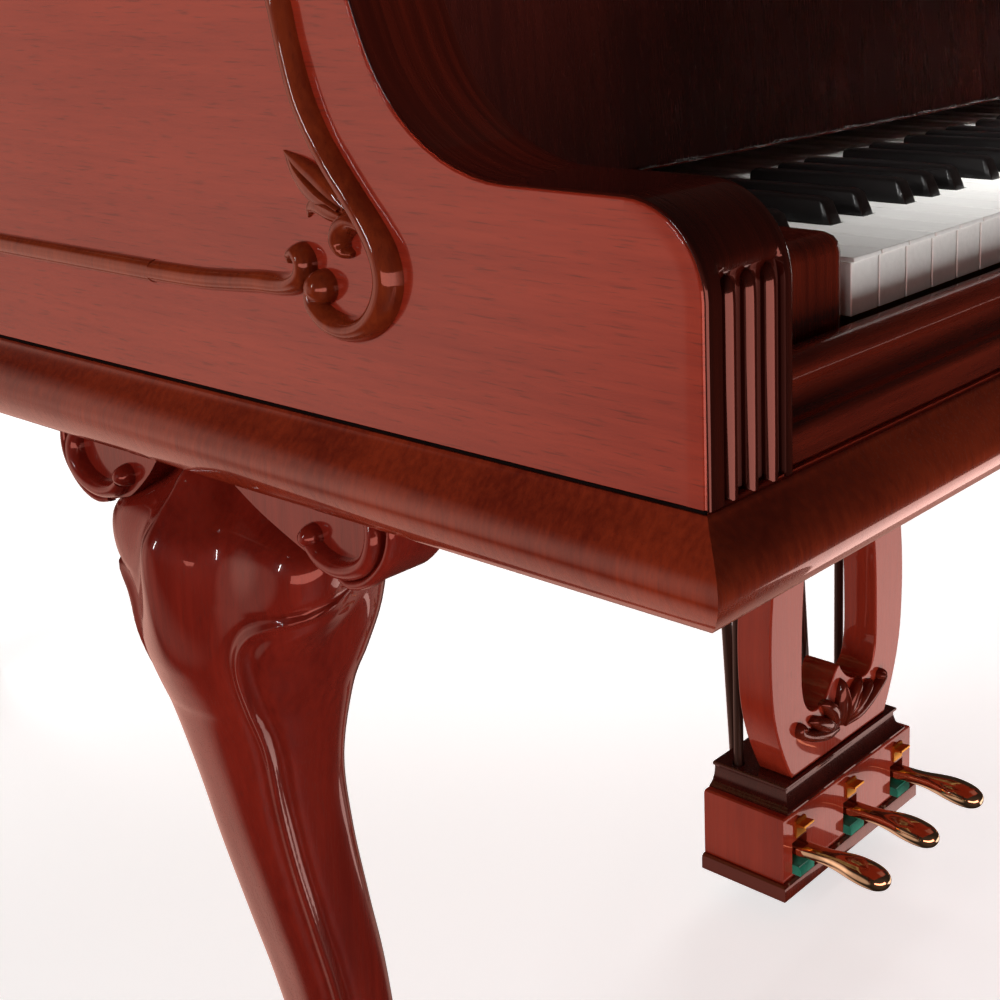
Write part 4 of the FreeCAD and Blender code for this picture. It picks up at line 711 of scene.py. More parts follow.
BEAD_LOW, BEAD_HIGH = 720.5, 936.0
UPRIGHT = [(262, BEAD_HIGH, 5.4, 6), (250, 935, 5.4, 6), (240, 927, 5.4, 6.5), (224, 902, 5.6, 7),
           (207, 875, 5.6, 7.5), (196.5, 852, 5.6, 8), (191.5, 831.5, 5.6, 8), (184.5, 809.5, 5.5, 8.5),
           (176, 793.5, 5.3, 8.5), (166, 780.5, 5.2, 9), (155, 768, 5.3, 9), (145.5, 757, 5.7, 9.5),
           (138.5, 746.5, 6.4, 10), (136.2, 735, 6.8, 10), (140.5, 723.5, 6.5, 10), (150, 714.5, 6.0, 9.5),
           (162.5, 710.6, 5.8, 9), (175, 712.5, 5.6, 8.5), (184, 718.5, 5.0, 7.5), (186.5, 725, 4.0, 6.5)]
CURL = [(141, 752, 2.4, 6), (148, 757, 4.2, 8), (155.5, 758.5, 5.0, 9), (162, 755, 5.2, 9.5),
        (164.8, 749, 4.4, 8.5), (162.5, 744.5, 3.4, 7), (158.5, 743.5, 1.2, 3)]
BEAD_END = [(s, BEAD_LOW + up, wide, tall) for s, up, wide, tall in (
    (310, 0, 5.4, 5.8), (270, 0.6, 5.4, 5.8), (245, 2.2, 5.4, 6), (224, 4, 5.4, 6.5), (207, 4.8, 5.5, 7),
    (197, 7, 5.5, 8), (190.6, 11.4, 5.3, 8.5), (188.6, 17, 4.9, 9), (192, 21, 4.4, 8.5),
    (197, 19.6, 3.6, 7), (198.2, 16, 2.4, 5))]
LEAVES = (
    [(161, 762, 3, 4), (170.5, 766.5, 6.5, 5.5), (181, 772, 8.0, 5.5), (191, 778.5, 5.5, 4.5),
     (200.5, 785, 0.4, 1)],
    [(159, 759.5, 3, 4), (168, 761.5, 5.4, 5), (177, 763.5, 5.2, 5), (184, 761.5, 2.6, 3.5),
     (187, 757, 0.4, 1)],
    [(162, 762.5, 1.2, 6.5), (174, 769, 1.5, 8.2), (187, 777, 1.1, 6.5), (197, 783.5, 0.3, 2)],
    [(161, 760.5, 1.0, 6.0), (171, 763.6, 1.2, 6.8), (181, 763.6, 0.4, 3.5)],
)
shells = []
for sign in (-1, 1):
    panel = case_side(sign)
    shells += [relief(line, panel, 1.2) for line in (UPRIGHT, CURL, BEAD_END)]
    shells += [relief(leaf, panel, 0.6) for leaf in LEAVES]
    shells.append(knob((179, 727.5), 8.0, 11, panel))
hang("side_carving", skin("side_carving", shells), carved_wood, "case", "mahogany_carved",
     "side_beads")

# %% [markdown]
# ## The bead round the case
# From scroll to scroll two long beads run round the tail, one low and one under the lid. A bead
# that follows a path is what Geometry Nodes are for: the path becomes a curve, a round section is
# swept along it, and the result is turned back into a plain mesh. The lower half of the round lies
# inside the wood.

# %% Sweep with Geometry Nodes
SWEPT_ANGLE = 50.0


class Maker(Tree):
    """A geometry tree with named inputs that ends with Realize Instances and Set Material."""

    def __init__(self, name, inputs):
        super().__init__(bpy.data.node_groups.new(name, "GeometryNodeTree"))
        sockets = (("Geometry", "Geometry"), *inputs, ("Stuff", "Material"))
        for label, kind in sockets:
            self.tree.interface.new_socket(label, in_out="INPUT", socket_type="NodeSocket" + kind)
        self.tree.interface.new_socket("Geometry", in_out="OUTPUT", socket_type="NodeSocketGeometry")
        start = self.tree.nodes.new("NodeGroupInput")
        self.given = {label: Value(self, start.outputs[label]) for label, _ in sockets}

    def close(self, made):
        real = self.node("GeometryNodeRealizeInstances", None, {"Geometry": made})
        paint = self.node("GeometryNodeSetMaterial", None,
                          {"Geometry": real, "Material": self.given["Stuff"]})
        self.feed(self.tree.nodes.new("NodeGroupOutput").inputs["Geometry"], paint)
        return self.tree


def sweep_tree():
    """Edges in, round bars out."""
    maker = Maker("round_bar_sweep", (("Radius", "Float"), ("Sides", "Int")))
    line = maker.node("GeometryNodeMeshToCurve", None, {"Mesh": maker.given["Geometry"]})
    ring = maker.node("GeometryNodeCurvePrimitiveCircle", None,
                      {"Radius": maker.given["Radius"], "Resolution": maker.given["Sides"]})
    return maker.close(maker.node("GeometryNodeCurveToMesh", None,
                                  {"Curve": line, "Profile Curve": ring, "Fill Caps": True}))


def grown(name, tree, mesh, values):
    """Run a geometry tree on a mesh and keep its result as a plain mesh."""
    def add(raw):
        maker = raw.modifiers.new("maker", "NODES")
        maker.node_group = tree
        for item in tree.interface.items_tree:
            if item.in_out == "INPUT" and item.name in values:
                maker[item.identifier] = values[item.name]
        raw.update_tag()
    return smoothed(worked(name, mesh, add), SWEPT_ANGLE)


def lines_mesh(name, lines):
    """Loose edges through each line's points, in millimetres."""
    points, edges = [], []
    for line in lines:
        edges += [(len(points) + i, len(points) + i + 1) for i in range(len(line) - 1)]
        points += [tuple(np.array(p) * MM) for p in line]
    mesh = bpy.data.meshes.new(name)
    mesh.from_pydata(points, edges, [])
    return mesh


SWEEP = sweep_tree()
BASS_ARC, TAIL_ARC = ((-550, 673), 200), ((-359, 370.8), 502.2)  # centre, radius
HOLLOW_ARC, SHOULDER_ARC = ((831.1, 900.5), 800), ((270, -250), 480)
TAIL_TURN, SHOULDER_TURN = 24, 64  # where the hollow of the bentside begins and ends, in degrees


def case_plan(start):
    """The case outline from the bass side round the tail to the treble side."""
    return ([(-CASE_SIDE, start)] + arc_points(*BASS_ARC, 180, 90, 16)
            + arc_points(*TAIL_ARC, 90, TAIL_TURN, 26)
            + arc_points(*HOLLOW_ARC, 180 + TAIL_TURN, 180 + SHOULDER_TURN, 26)[1:]
            + arc_points(*SHOULDER_ARC, SHOULDER_TURN, 0, 26)[1:] + [(CASE_SIDE, start)])


rounds = [[(x, y, level) for x, y in case_plan(start)]
          for level, start in ((BEAD_LOW, -545), (BEAD_HIGH, -592))]
bead = grown("bead_round_case", SWEEP, lines_mesh("bead_paths", rounds),
             {"Radius": 5.7 * MM, "Sides": 20, "Stuff": carved_wood})
hang("bead_round_case", bead, carved_wood, "case", "mahogany_carved")

# %% [markdown]
# ## Base moulding
# A crossbanded moulding runs round the foot of the case. It flows outwards, turns over a nose and
# falls back underneath, and it is mitred at the two front corners. A swept curve would pinch at
# those corners, so the rings are set one by one: at a corner, each one is pushed out along the mitre.
# A thin black bar between panel and moulding is painted shadow: it stands for the dark gap there.

# %% Moulding rings
CASE_LOW = 625.0
MOULDING = [(-8, CASE_LOW), (-8, 666.5), (1.2, 666.5)] + flowing(
    [(2.0, 665.8), (3.6, 663.4), (7.0, 659.6), (11.0, 655.4), (14.4, 650.8), (16.5, 646), (17.0, 642.2),
     (16.2, 638.2), (14.0, 633.6), (11.0, 629.2), (8.2, 626.2)], 4).tolist() + [(6.6, CASE_LOW)]


def mitred(plan, outs):
    """Rings of a section round a closed plan: at each corner, points pushed out along the mitre."""
    p = np.array(plan, float)
    before, after = p - np.roll(p, 1, 0), np.roll(p, -1, 0) - p
    sides = [np.c_[-d[:, 1], d[:, 0]] / np.linalg.norm(d, axis=1)[:, None] for d in (before, after)]
    mitre = (sides[0] + sides[1]) / (1 + (sides[0] * sides[1]).sum(1))[:, None]
    return [[(*(corner + push * out) * MM, z * MM) for out, z in outs]
            for corner, push in zip(p, mitre)]


def fine_plan():
    """The closed case outline, with the straight sides cut into shorter runs."""
    left = [(-CASE_SIDE, y) for y in np.linspace(ARM_FRONT, BASS_ARC[0][1], 12)[:-1]]
    right = [(CASE_SIDE, y) for y in np.linspace(SHOULDER_ARC[0][1], ARM_FRONT, 8)[1:]]
    front = [(x, ARM_FRONT) for x in np.linspace(CASE_SIDE, -CASE_SIDE, 12)[1:-1]]
    return left + case_plan(ARM_FRONT)[1:-1] + right + front


crossband = skin("base_moulding_crossband", [mitred(fine_plan(), MOULDING)], 35, True)
hang("base_moulding_crossband", crossband, moulding_wood, "case", "mahogany_gloss", "base_moulding")
# painted shadow: a thin black bar along the panel's foot stands for the shadow gap above the moulding
line_path = [(x, y, ARM_FOOT) for x, y in case_plan(ARM_FRONT)]
painted_shadow_line = grown("painted_shadow_line", SWEEP, lines_mesh("line_path", [line_path]),
                   {"Radius": 0.75 * MM, "Sides": 10, "Stuff": painted_shadow_black})
hang("painted_shadow_line", painted_shadow_line, painted_shadow_black, "case", "mahogany_gloss")

# %% [markdown]
# ## White and black keys
# A white key is a thin top plate on a wooden lever, with a broad head in front and a tail that
# makes room for its black neighbours. Each octave is one body here, so each octave's keys are one
# mesh: prisms over the key's outline with a small Bevel. The plate overhangs the front a little.

# %% Keys
PITCH, SPAN, GAP = 23.55, 52 * 23.55, 1.0
SHARP_WIDTH, SHARP_SHIFT = 10.5, {"A": 2.8, "C": -2.8, "D": 2.8, "F": -2.8, "G": 0.0}
OCTAVES = (0, 9, 16, 23, 30, 37, 44, 52)
KEY_LOW, KEY_TOP, PLATE, OVERHANG = 709.0, 735.0, 2.4, 1.6
SHARP_FRONT, KEY_BACK = -800.0, -450.0
SHARP_STATIONS = (  # y, top, share of the width left at the top
    (-799, 734, 1.0), (-798.2, 738, 0.97), (-795, 745.4, 0.86), (-792, 747, 0.82), (-760, 747.2, 0.82),
    (-706, 746.6, 0.82), (-704, 745.5, 0.82))


def sharp_x(natural):
    """The middle of the black key after a white one, or None."""
    letter = "ABCDEFG"[natural % 7]
    if letter not in SHARP_SHIFT or not 0 <= natural < 51:
        return None
    return (natural + 1) * PITCH - SPAN / 2 + SHARP_SHIFT[letter]


def white_outline(natural, head, inset):
    """Plan of a white key; inset narrows the lever under its plate."""
    left = natural * PITCH - SPAN / 2 + GAP / 2 + inset
    right = left + PITCH - GAP - 2 * inset
    room = SHARP_WIDTH / 2 + GAP + inset
    before, after = sharp_x(natural - 1), sharp_x(natural)
    tail_left = left if before is None else before + room
    tail_right = right if after is None else after - room
    outline = [(left, head), (right, head), (right, SHARP_FRONT), (tail_right, SHARP_FRONT),
               (tail_right, KEY_BACK), (tail_left, KEY_BACK), (tail_left, SHARP_FRONT),
               (left, SHARP_FRONT)]
    return [p for i, p in enumerate(outline) if p != outline[i - 1]]


def prism(outline, low, high):
    return [[(x * MM, y * MM, z * MM) for x, y in outline] for z in (low, high)]


def black_rings(natural):
    """A black key: waisted sides, sloped front, rounded top."""
    middle, wide = sharp_x(natural), SHARP_WIDTH / 2
    rings = []
    for y, top, share in SHARP_STATIONS:
        crown = wide * share
        ring = [(-wide, 712), (-wide, 733.5), (-crown, top - 1.6), (-crown + 0.7, top - 0.5),
                (-crown + 1.7, top)]
        ring += [(-x, z) for x, z in reversed(ring)]
        rings.append([((middle + x) * MM, y * MM, z * MM) for x, z in ring])
    return rings


def bevelled(mesh, radius):
    """A mesh with its sharp edges rounded by a Bevel modifier."""
    return worked(mesh.name, mesh, rounding(radius, 2, 40, True))


for octave, (first, after) in enumerate(zip(OCTAVES, OCTAVES[1:]), start=1):
    body, white, black = f"keys_{octave}", [], []
    for natural in range(first, after):
        plate = white_outline(natural, KEY_FRONT, 0.0)
        lever = white_outline(natural, KEY_FRONT + OVERHANG, 0.15)
        white.append(prism(plate, KEY_TOP - PLATE, KEY_TOP))
        white.append(prism(lever, KEY_LOW, KEY_TOP - PLATE - 0.05))
        if sharp_x(natural) is not None:
            black.append(black_rings(natural))
    white_name, black_name = f"white_keys_{octave}", f"black_keys_{octave}"
    hang(white_name, bevelled(skin(white_name, white), 0.55 * MM), ivory, body, "key_ivory",
         f"keys_octave_{octave}")
    hang(black_name, skin(black_name, black), ebony_wood, body, "damper_black")

# %% [markdown]
# ## Key slip
# The slip is the moulded rail along the front of the keys: a rounded upper band, a dark hollow and
# a plain foot. Its section is one smooth line of points carried from arm to arm.

# %% Key slip
SLIP = ([(-853.5, 668), (-853.5, 708.6)]
        + flowing([(-856.5, 709), (-860.5, 708.6), (-864, 706.4), (-865.6, 702.5), (-864.6, 698.8),
                   (-862.4, 696.6), (-861.6, 693), (-862.6, 688.6), (-865.6, 685.4), (-869.4, 683.6),
                   (-871.3, 681.2), (-871.5, 678), (-871.5, 669.6), (-870.6, 668)], 5).tolist())
slip_rings = carried(SLIP, (-693.2, -692.6, 692.6, 693.2))
hang("key_slip_moulding", skin("key_slip_moulding", [slip_rings]), slip_wood, "case",
     "mahogany_gloss", "key_slip")

# %% [markdown]
# ## Cabriole legs
# A cabriole leg swings out at the knee, in at the ankle and out again at the foot. Its section is
# a square with full corners. Polar coordinates suit this: the radius is worked out for every
# height and angle. On the knee a second table adds a keel in front, a hollow on each side of it
# and a shoulder under each bracket. A carved cord runs down the two outer corners, from a curl
# under the brackets, with a groove on each side.

# %% Leg surface
LEG_STATIONS = np.array([  # height, outwards, half side, squareness
    (0, -4.2, 33, 2.2), (6, -4.0, 37, 2.2), (24, -5.0, 37.5, 2.2), (46, -12, 32, 2.3), (72, -24, 25.5, 2.5),
    (110, -33, 22.5, 2.8), (162, -36, 22.0, 3.0), (230, -29, 24.5, 3.0), (300, -17, 27.8, 3.0),
    (350, -5.5, 29.6, 3.0), (400, 5.5, 31.8, 2.9), (445, 12.5, 35.5, 2.7), (487, 14, 44.5, 2.5),
    (510, 12.5, 53, 2.4), (530, 10.5, 59.5, 2.3), (550, 8.5, 63, 2.2), (572, 6.5, 64, 2.3),
    (586, 5, 62.5, 2.3), (598, 3, 56, 2.2), (610, 1.5, 49, 2.2), (CASE_LOW, 0, 45, 2.2)], float)
KNEE = np.array([  # height, keel, its width in radians, hollow beside it, shoulder under the bracket
    (0, 0, 0.8, 0, 0), (430, 0, 0.8, 0, 0), (500, 2, 0.55, 0, 0), (522, 4, 0.48, 0.6, 2),
    (534, 5, 0.44, 2, 7), (546, 6.2, 0.39, 4, 13), (558, 7.6, 0.34, 6, 18), (570, 9.4, 0.30, 8, 21.5),
    (582, 11, 0.27, 9.5, 22), (590, 12, 0.25, 10.5, 18.5), (597, 12, 0.24, 12, 9), (604, 11, 0.23, 13, 1),
    (614, 8, 0.22, 14, 0), (CASE_LOW, 0, 0.20, 15, 0)], float)
CORD = np.array([  # height, angle of the carved cord from the outward direction, in degrees
    (0, 45), (60, 47), (180, 55), (310, 57), (400, 56), (450, 55), (474, 52.5), (498, 46), (518, 41.5),
    (534, 41), (545, 46), (552, 56), (556.5, 70), (558.5, 84), (559.5, 94)], float)
LEG_ROWS, ROW_FRONT, ROW_BACK = 300, 56, 70
HOLLOW_AT, SHOULDER_AT, DIMPLE_AT, DIMPLE_HIGH = 0.58, 1.16, 1.45, 535.0
CORD_START, CORD_STEPS = 40, 640
CORD_SECTION = ((2.8, 0.0, 2.0), (-2.6, 6.0, 3.2), (-1.1, -4.6, 2.2))  # height, place, width


def smooth_table(table, at):
    """Columns of a table read at new heights along a smooth line."""
    fine = flowing(table, 12)
    return np.array([np.interp(at, fine[:, 0], fine[:, k]) for k in range(1, table.shape[1])])


def bell(x):
    return np.exp(-x * x)


def cord_distance(z, side, angle, edge):
    """How far each point of the leg lies from its cord; under 0 on the outward side of it."""
    cord = flowing(CORD, 60)
    run = np.c_[cord[:, 0], np.interp(cord[:, 0], z[:, 0], side[:, 0]) * np.radians(cord[:, 1])]
    length = np.r_[0, np.cumsum(np.hypot(*np.diff(run, axis=0).T))]
    away = np.full(angle.shape, 1e3)
    for at in np.linspace(CORD_START, length[-1], CORD_STEPS):
        height, reach = np.interp(at, length, run[:, 0]), np.interp(at, length, run[:, 1])
        away = np.minimum(away, np.hypot(z - height, angle * side - reach))
    return np.where((angle > edge) & (z < cord[-1, 0]), away, -away)


def leg_rings():
    """Rings of one leg that looks towards -X: a superellipse with its knee, cord and grooves."""
    z = np.linspace(0, CASE_LOW, LEG_ROWS)
    cord = flowing(CORD, 60)
    edge = np.radians(np.interp(z, cord[:, 0], cord[:, 1]))[:, None]
    near = 1 - (1 - np.linspace(0, 1, ROW_FRONT)) ** 1.7
    far = np.linspace(0, 1, ROW_BACK)[1:] ** 2.0
    half = np.hstack([edge * near, edge + (math.pi - edge) * far])
    turn = np.hstack([half, -half[:, -2:0:-1]])
    out, side, square = (column[:, None] for column in smooth_table(LEG_STATIONS, z))
    keel, width, hollow, shoulder = (column[:, None] for column in smooth_table(KNEE, z))
    z, angle = z[:, None], np.abs(turn)
    radius = side / (np.abs(np.cos(turn)) ** square + np.abs(np.sin(turn)) ** square) ** (1 / square)
    radius += keel * np.exp(-(np.hypot(turn, 0.08) - 0.08) / width) * np.cos(np.clip(turn, -1.5, 1.5))
    radius -= hollow * bell((angle - HOLLOW_AT) / 0.38)
    radius += shoulder * bell((angle - SHOULDER_AT) / 0.40)
    away = cord_distance(z, side, angle, edge)
    strength = np.interp(z, (20, 80, 600), (0, 1, 1)) * np.clip((1.62 - angle) / 0.42, 0, 1)
    radius += strength * sum(tall * bell((away - at) / wide) for tall, at, wide in CORD_SECTION)
    radius -= 3.5 * bell((angle - DIMPLE_AT) / 0.36) * bell((z - DIMPLE_HIGH) / 13)
    return np.stack([-(out + radius * np.cos(turn)), -radius * np.sin(turn),
                     np.broadcast_to(z, turn.shape)], axis=-1)


def placed(points, at, degrees):
    """Turn points about the upright and move them, millimetres to metres."""
    c, s = math.cos(math.radians(degrees)), math.sin(math.radians(degrees))
    p = np.asarray(points, float)
    x, y = p[..., 0], p[..., 1]
    return np.stack([c * x - s * y + at[0], s * x + c * y + at[1], p[..., 2]], axis=-1) * MM


LEGS = (("front_left_leg", (-695, -548), 0, -1), ("front_right_leg", (695, -548), 180, 1),
        ("rear_leg", (-300, 620), -90, 0))  # node, place, turn, side of its front bracket
one_leg = leg_rings()
for node, at, turn, _ in LEGS:
    name = node + "_carved"
    hang(name, skin(name, [placed(one_leg, at, turn)], 60), leg_wood, "case", "mahogany_gloss", node)

# %% [markdown]
# ## Brackets with scrolls
# Beside each knee a bracket fills the corner under the case. It is a flat board with a hollow
# lower edge, and a C-scroll with a small eye is carved where it ends. All brackets come from one
# drawing: on the front legs the front one is drawn out longer and the rear one is drawn in.

# %% Leg brackets
EAR = ([(18, CASE_LOW), (136, CASE_LOW), (136, 617)]
       + flowing([(134.5, 610), (129.5, 600.5), (117, 589), (104, 584.5), (94, 587)], 5).tolist()
       + flowing([(86, 589.5), (72, 594), (48, 606), (30, 618)], 5).tolist() + [(18, 621)])
SCROLL = [(119, 625, 3.6, 5), (123, 613.5, 4.6, 8), (119.5, 602.5, 5.0, 9), (110, 595.5, 5.0, 9),
          (98, 593, 4.9, 9), (87, 595.2, 4.6, 8.5), (79.5, 600.5, 3.8, 8)]
RIM_LINE = [(96, 587, 1.6, 3), (105, 586.3, 2.4, 5), (117, 591, 2.7, 5.5), (128, 601.5, 2.7, 5.5),
            (132.8, 612, 2.6, 5), (133.5, 624, 2, 4)]
FRONT_REACH, REAR_REACH = 14.0, -20.0
BRACKET_FACE, BRACKET_ROWS = -46.0, (-46.0, -44.5, -16.0, -14.0)
EYE, EYE_RADIUS, EYE_TALL = (78.0, 604.0), 6.2, 9.5


def stretched(line, reach):
    """A bracket's drawing drawn out, or in, towards its tip."""
    return [(s + reach * min(max((s - 30) / 50, 0), 1), *rest) for s, *rest in line]


def bracket(sign, reach):
    """A board and its carving, in the leg's own coordinates."""
    def face(s, t, h):
        return (BRACKET_FACE - h, sign * s, t)
    board = [[(x, sign * y, z) for y, z in stretched(EAR, reach)] for x in BRACKET_ROWS]
    carving = [relief(stretched(line, reach), face) for line in (SCROLL, RIM_LINE)]
    return [board, *carving, knob((EYE[0] + reach, EYE[1]), EYE_RADIUS, EYE_TALL, face)]


bracket_shells = []
for _, at, turn, front in LEGS:
    for sign in (-1, 1):
        reach = 0.0 if front == 0 else FRONT_REACH if sign == front else REAR_REACH
        bracket_shells += [placed(shell, at, turn) for shell in bracket(sign, reach)]
hang("leg_brackets_carved", skin("leg_brackets_carved", bracket_shells), leg_wood, "case",
     "mahogany_carved", "leg_brackets")

# %% [markdown]
# ## Lyre leaf and pedal box
# The lyre hangs from the keybed and carries the pedal box. It is planed a little thinner than its
# CAD board, its foot is drawn in, and a spray of leaves is carved under its opening. The box has a
# plinth, a plain body and a hollow-moulded cap; Boolean modifiers cut the three pedal slots, the
# holes for the rods and the room inside, as a joiner would mortise them.

# %% Lyre and pedal box
LYRE_FRONT, LYRE_BACK, LYRE_CAD = -467.0, -431.0, 44.0
FOOT_HIGH, FOOT_RUN, FOOT_DRAWN = 0.215, 0.088, 0.16
BOX_ANGLE, BOX_HALF, BOX_FRONT, BOX_BACK = 25.0, 112.0, -478.0, -391.0
PEDAL_X, ROD_Y, ROD_HOLE, SLOT_HALF = (-86, 0, 86), -412.0, 6.0, 12
BOX_ROOM = ((-0.102, -0.468, 0.020), (0.102, -0.401, 0.0995))
SLOT_LOW, SLOT_HIGH = (-0.490, 0.0440), (-0.460, 0.0755)


def lyre_board():
    """The lyre planed a little thinner than its CAD board, with its foot drawn in."""
    mesh = softened("lyre", "lyre_board", 2.0 * MM)
    thinner = (LYRE_BACK - LYRE_FRONT) / LYRE_CAD
    for point in mesh.vertices:
        point.co.y = LYRE_BACK * MM + (point.co.y - LYRE_BACK * MM) * thinner
        drawn = min(max((FOOT_HIGH - point.co.z) / FOOT_RUN, 0.0), 1.0)
        point.co.x *= 1 - FOOT_DRAWN * drawn * drawn
    return mesh


hang("lyre_board", lyre_board(), upright_wood, "case", "mahogany_gloss", "lyre")


def lyre_face(s, t, h):
    return (s * MM, (LYRE_FRONT - h) * MM, t * MM)


SPRAY_FOOT, SPRAY_SHRINK = 147, 0.74
SPRAY = (
    [(0, 148, 2, 3), (0, 160, 8, 8), (0, 178, 10, 10), (0, 194, 7.5, 9), (0, 206, 3.5, 6),
     (0, 211, 0.5, 1.5)],
    [(0, 152, 1, 9), (0, 178, 1.6, 13), (0, 200, 1.0, 9), (0, 208, 0.3, 3)],
)
PAIRS = (  # leaves and veins that stand on both sides
    [(4, 150, 2, 3), (12, 164, 7, 8), (19, 178, 8, 9), (27, 189, 5.5, 8), (35, 194, 1, 2.5)],
    [(7, 149, 2, 3), (22, 159, 7, 8), (36, 169, 7, 9), (47, 178, 5, 7.5), (55, 181, 0.8, 2)],
    [(6, 146, 3, 4), (26, 151, 6, 8), (46, 159, 6, 8.5), (62, 168, 5, 8), (72, 177, 4.4, 8),
     (71, 184, 3.4, 7), (66, 184.5, 1.6, 4)],
    [(16, 166, 1.0, 9.5), (22, 180, 1.2, 10.5), (31, 191, 0.5, 5)],
    [(28, 160, 1.0, 9.5), (42, 172, 1.2, 9.5), (51, 179, 0.4, 4)],
)


def sprig(line, sign):
    """One leaf of the spray, lowered and set on one side."""
    return relief([(sign * s, SPRAY_FOOT + SPRAY_SHRINK * (t - SPRAY_FOOT), w, h) for s, t, w, h in line],
                  lyre_face, 0.7)


spray_shells = [sprig(line, 1) for line in SPRAY]
spray_shells += [sprig(line, sign) for line in PAIRS for sign in (-1, 1)]
spray_shells += [knob((sign * 68, 172), 4.6, 8.5, lyre_face) for sign in (-1, 1)]
# painted shade: the leaves take the darker front copy of the mahogany
hang("lyre_leaf", skin("lyre_leaf", spray_shells), front_painted_shade, "case", "mahogany_carved")

# Each row of a box moulding: how far it stands out at the ends and at the front, and its height.
BOX_BODY = [(0, 0, 40), (0, 0, 101.2), (-0.7, -0.5, 103.2), (-2.6, -1.2, 104.2)]
PLINTH = [(3.6, 3.6, 26), (5, 5, 27.4), (5, 5, 37.4), (4.4, 4.4, 39.6), (2.4, 2.4, 41.2), (-3, -3, 41.6)]
COVE = [(-8.4, -1.0, 103.6), (-8.4, -1.0, 105.4), (-10.4, -2.4, 106.4), (-13.6, -4.6, 109.0),
        (-16.2, -7.0, 113.5), (-17.6, -8.6, 119.5), (-17.2, -9.0, 122.8), (-14.8, -7.4, 123.6),
        (-14.2, -6.8, 124.6), (-14.4, -7.0, 126.2), (-15.6, -8.0, 127)]


def box_sides(profile):
    """Rings of a box moulding that runs round the ends and the front."""
    rings = []
    for ends, front, z in profile:
        half, near = BOX_HALF + ends, BOX_FRONT - front
        rings.append([(x * MM, y * MM, z * MM) for x, y in ((-half, near), (half, near),
                                                            (half, BOX_BACK), (-half, BOX_BACK))])
    return rings


def rod_hole(x):
    return [[((x + ROD_HOLE * math.cos(a)) * MM, (ROD_Y + ROD_HOLE * math.sin(a)) * MM, z)
             for a in np.linspace(0, 2 * math.pi, 16, endpoint=False)] for z in (0.090, 0.135)]


def cut_away(solid, tools):
    """Solid less each tool, by Boolean modifiers."""
    cutters = [link(f"cutter_{number}", skin(f"cutter_{number}", [rings]))
               for number, rings in enumerate(tools)]

    def add(raw):
        for cutter in cutters:
            step = raw.modifiers.new(cutter.name, "BOOLEAN")
            step.operation, step.object, step.solver = "DIFFERENCE", cutter, "EXACT"
    done = worked(solid.name, solid, add)
    for cutter in cutters:
        bpy.data.objects.remove(cutter)
    return smoothed(done, BOX_ANGLE)


box_room = [box_rings(*BOX_ROOM)]
rod_holes = [rod_hole(x) for x in PEDAL_X]
slots = [box_rings(((x - SLOT_HALF) * MM, *SLOT_LOW), ((x + SLOT_HALF) * MM, *SLOT_HIGH))
         for x in PEDAL_X]
body_mesh = cut_away(skin("pedal_box_body", [box_sides(BOX_BODY)], BOX_ANGLE),
                     box_room + slots + rod_holes)
hang("pedal_box_body", body_mesh, upright_wood, "case", "mahogany_gloss", "pedal_box")
plinth_mesh = cut_away(skin("pedal_box_plinth", [box_sides(PLINTH)], BOX_ANGLE), box_room)
# painted shade: the plinth takes the darker front copy of the mahogany
hang("pedal_box_plinth", plinth_mesh, front_painted_shade, "case", "mahogany_gloss")
# painted shade: the hollow cove takes the near-black copy of the mahogany
cove_mesh = cut_away(skin("pedal_box_cove", [box_sides(COVE)], BOX_ANGLE), rod_holes)
hang("pedal_box_cove", cove_mesh, near_black_painted_shade, "case", "mahogany_gloss")

# %% [markdown]
# ## Pedals
# A pedal is a cast brass lever: a flat stem in the box and a long rounded tip for the shoe, thick
# in the middle and drooping a little. Rounded sections are set along its length. Each pedal rides
# on its own body. A brass guide with a bent lip stands over each slot, and a green felt pad lies
# under it to stop the knock.

# %% Pedals, guides and felts
PEDAL_STATIONS = np.array([  # y, half width, half thickness, middle height, squareness
    (-407.5, 9, 3.9, 65.5, 6), (-440, 9, 4.5, 65.5, 6), (-478, 9, 4.6, 65.6, 5),
    (-487, 8.8, 5.2, 66.0, 3.4), (-498, 8.2, 6.0, 66.6, 2.6), (-510, 8.6, 6.8, 67.2, 2.3),
    (-523, 10.8, 8.4, 67.6, 2.2),
    (-536, 13.4, 10.0, 67.2, 2.1), (-548, 14.0, 10.6, 66.2, 2.1), (-559, 12.8, 9.6, 65.2, 2.1),
    (-566, 9.4, 7.0, 64.6, 2.0), (-569.2, 4.8, 3.6, 64.4, 2.0), (-570, 0.5, 0.4, 64.4, 2.0)], float)
GUIDE = [(-477.5, 79), (-479.8, 79), (-480.2, 88.5), (-481, 90.2), (-488.6, 91.6), (-488.4, 93.4),
         (-480.6, 92.6), (-479.6, 95.2), (-477.5, 95.4)]
PAD = [(-486.5, 44.6), (-486.5, 51), (-484.5, 53.5), (-466, 54.5), (-466, 44.6)]


def pedal_rings(x):
    """Rings of one pedal: superellipses set along its length."""
    rings = []
    for y, wide, thick, middle, square in flowing(PEDAL_STATIONS, 6):
        ring = []
        for a in np.linspace(0, 2 * math.pi, 36, endpoint=False):
            c, s = math.cos(a), math.sin(a)
            ring.append(((x + wide * math.copysign(abs(c) ** (2 / square), c)) * MM, y * MM,
                         (middle + thick * math.copysign(abs(s) ** (2 / square), s)) * MM))
        rings.append(ring)
    return rings


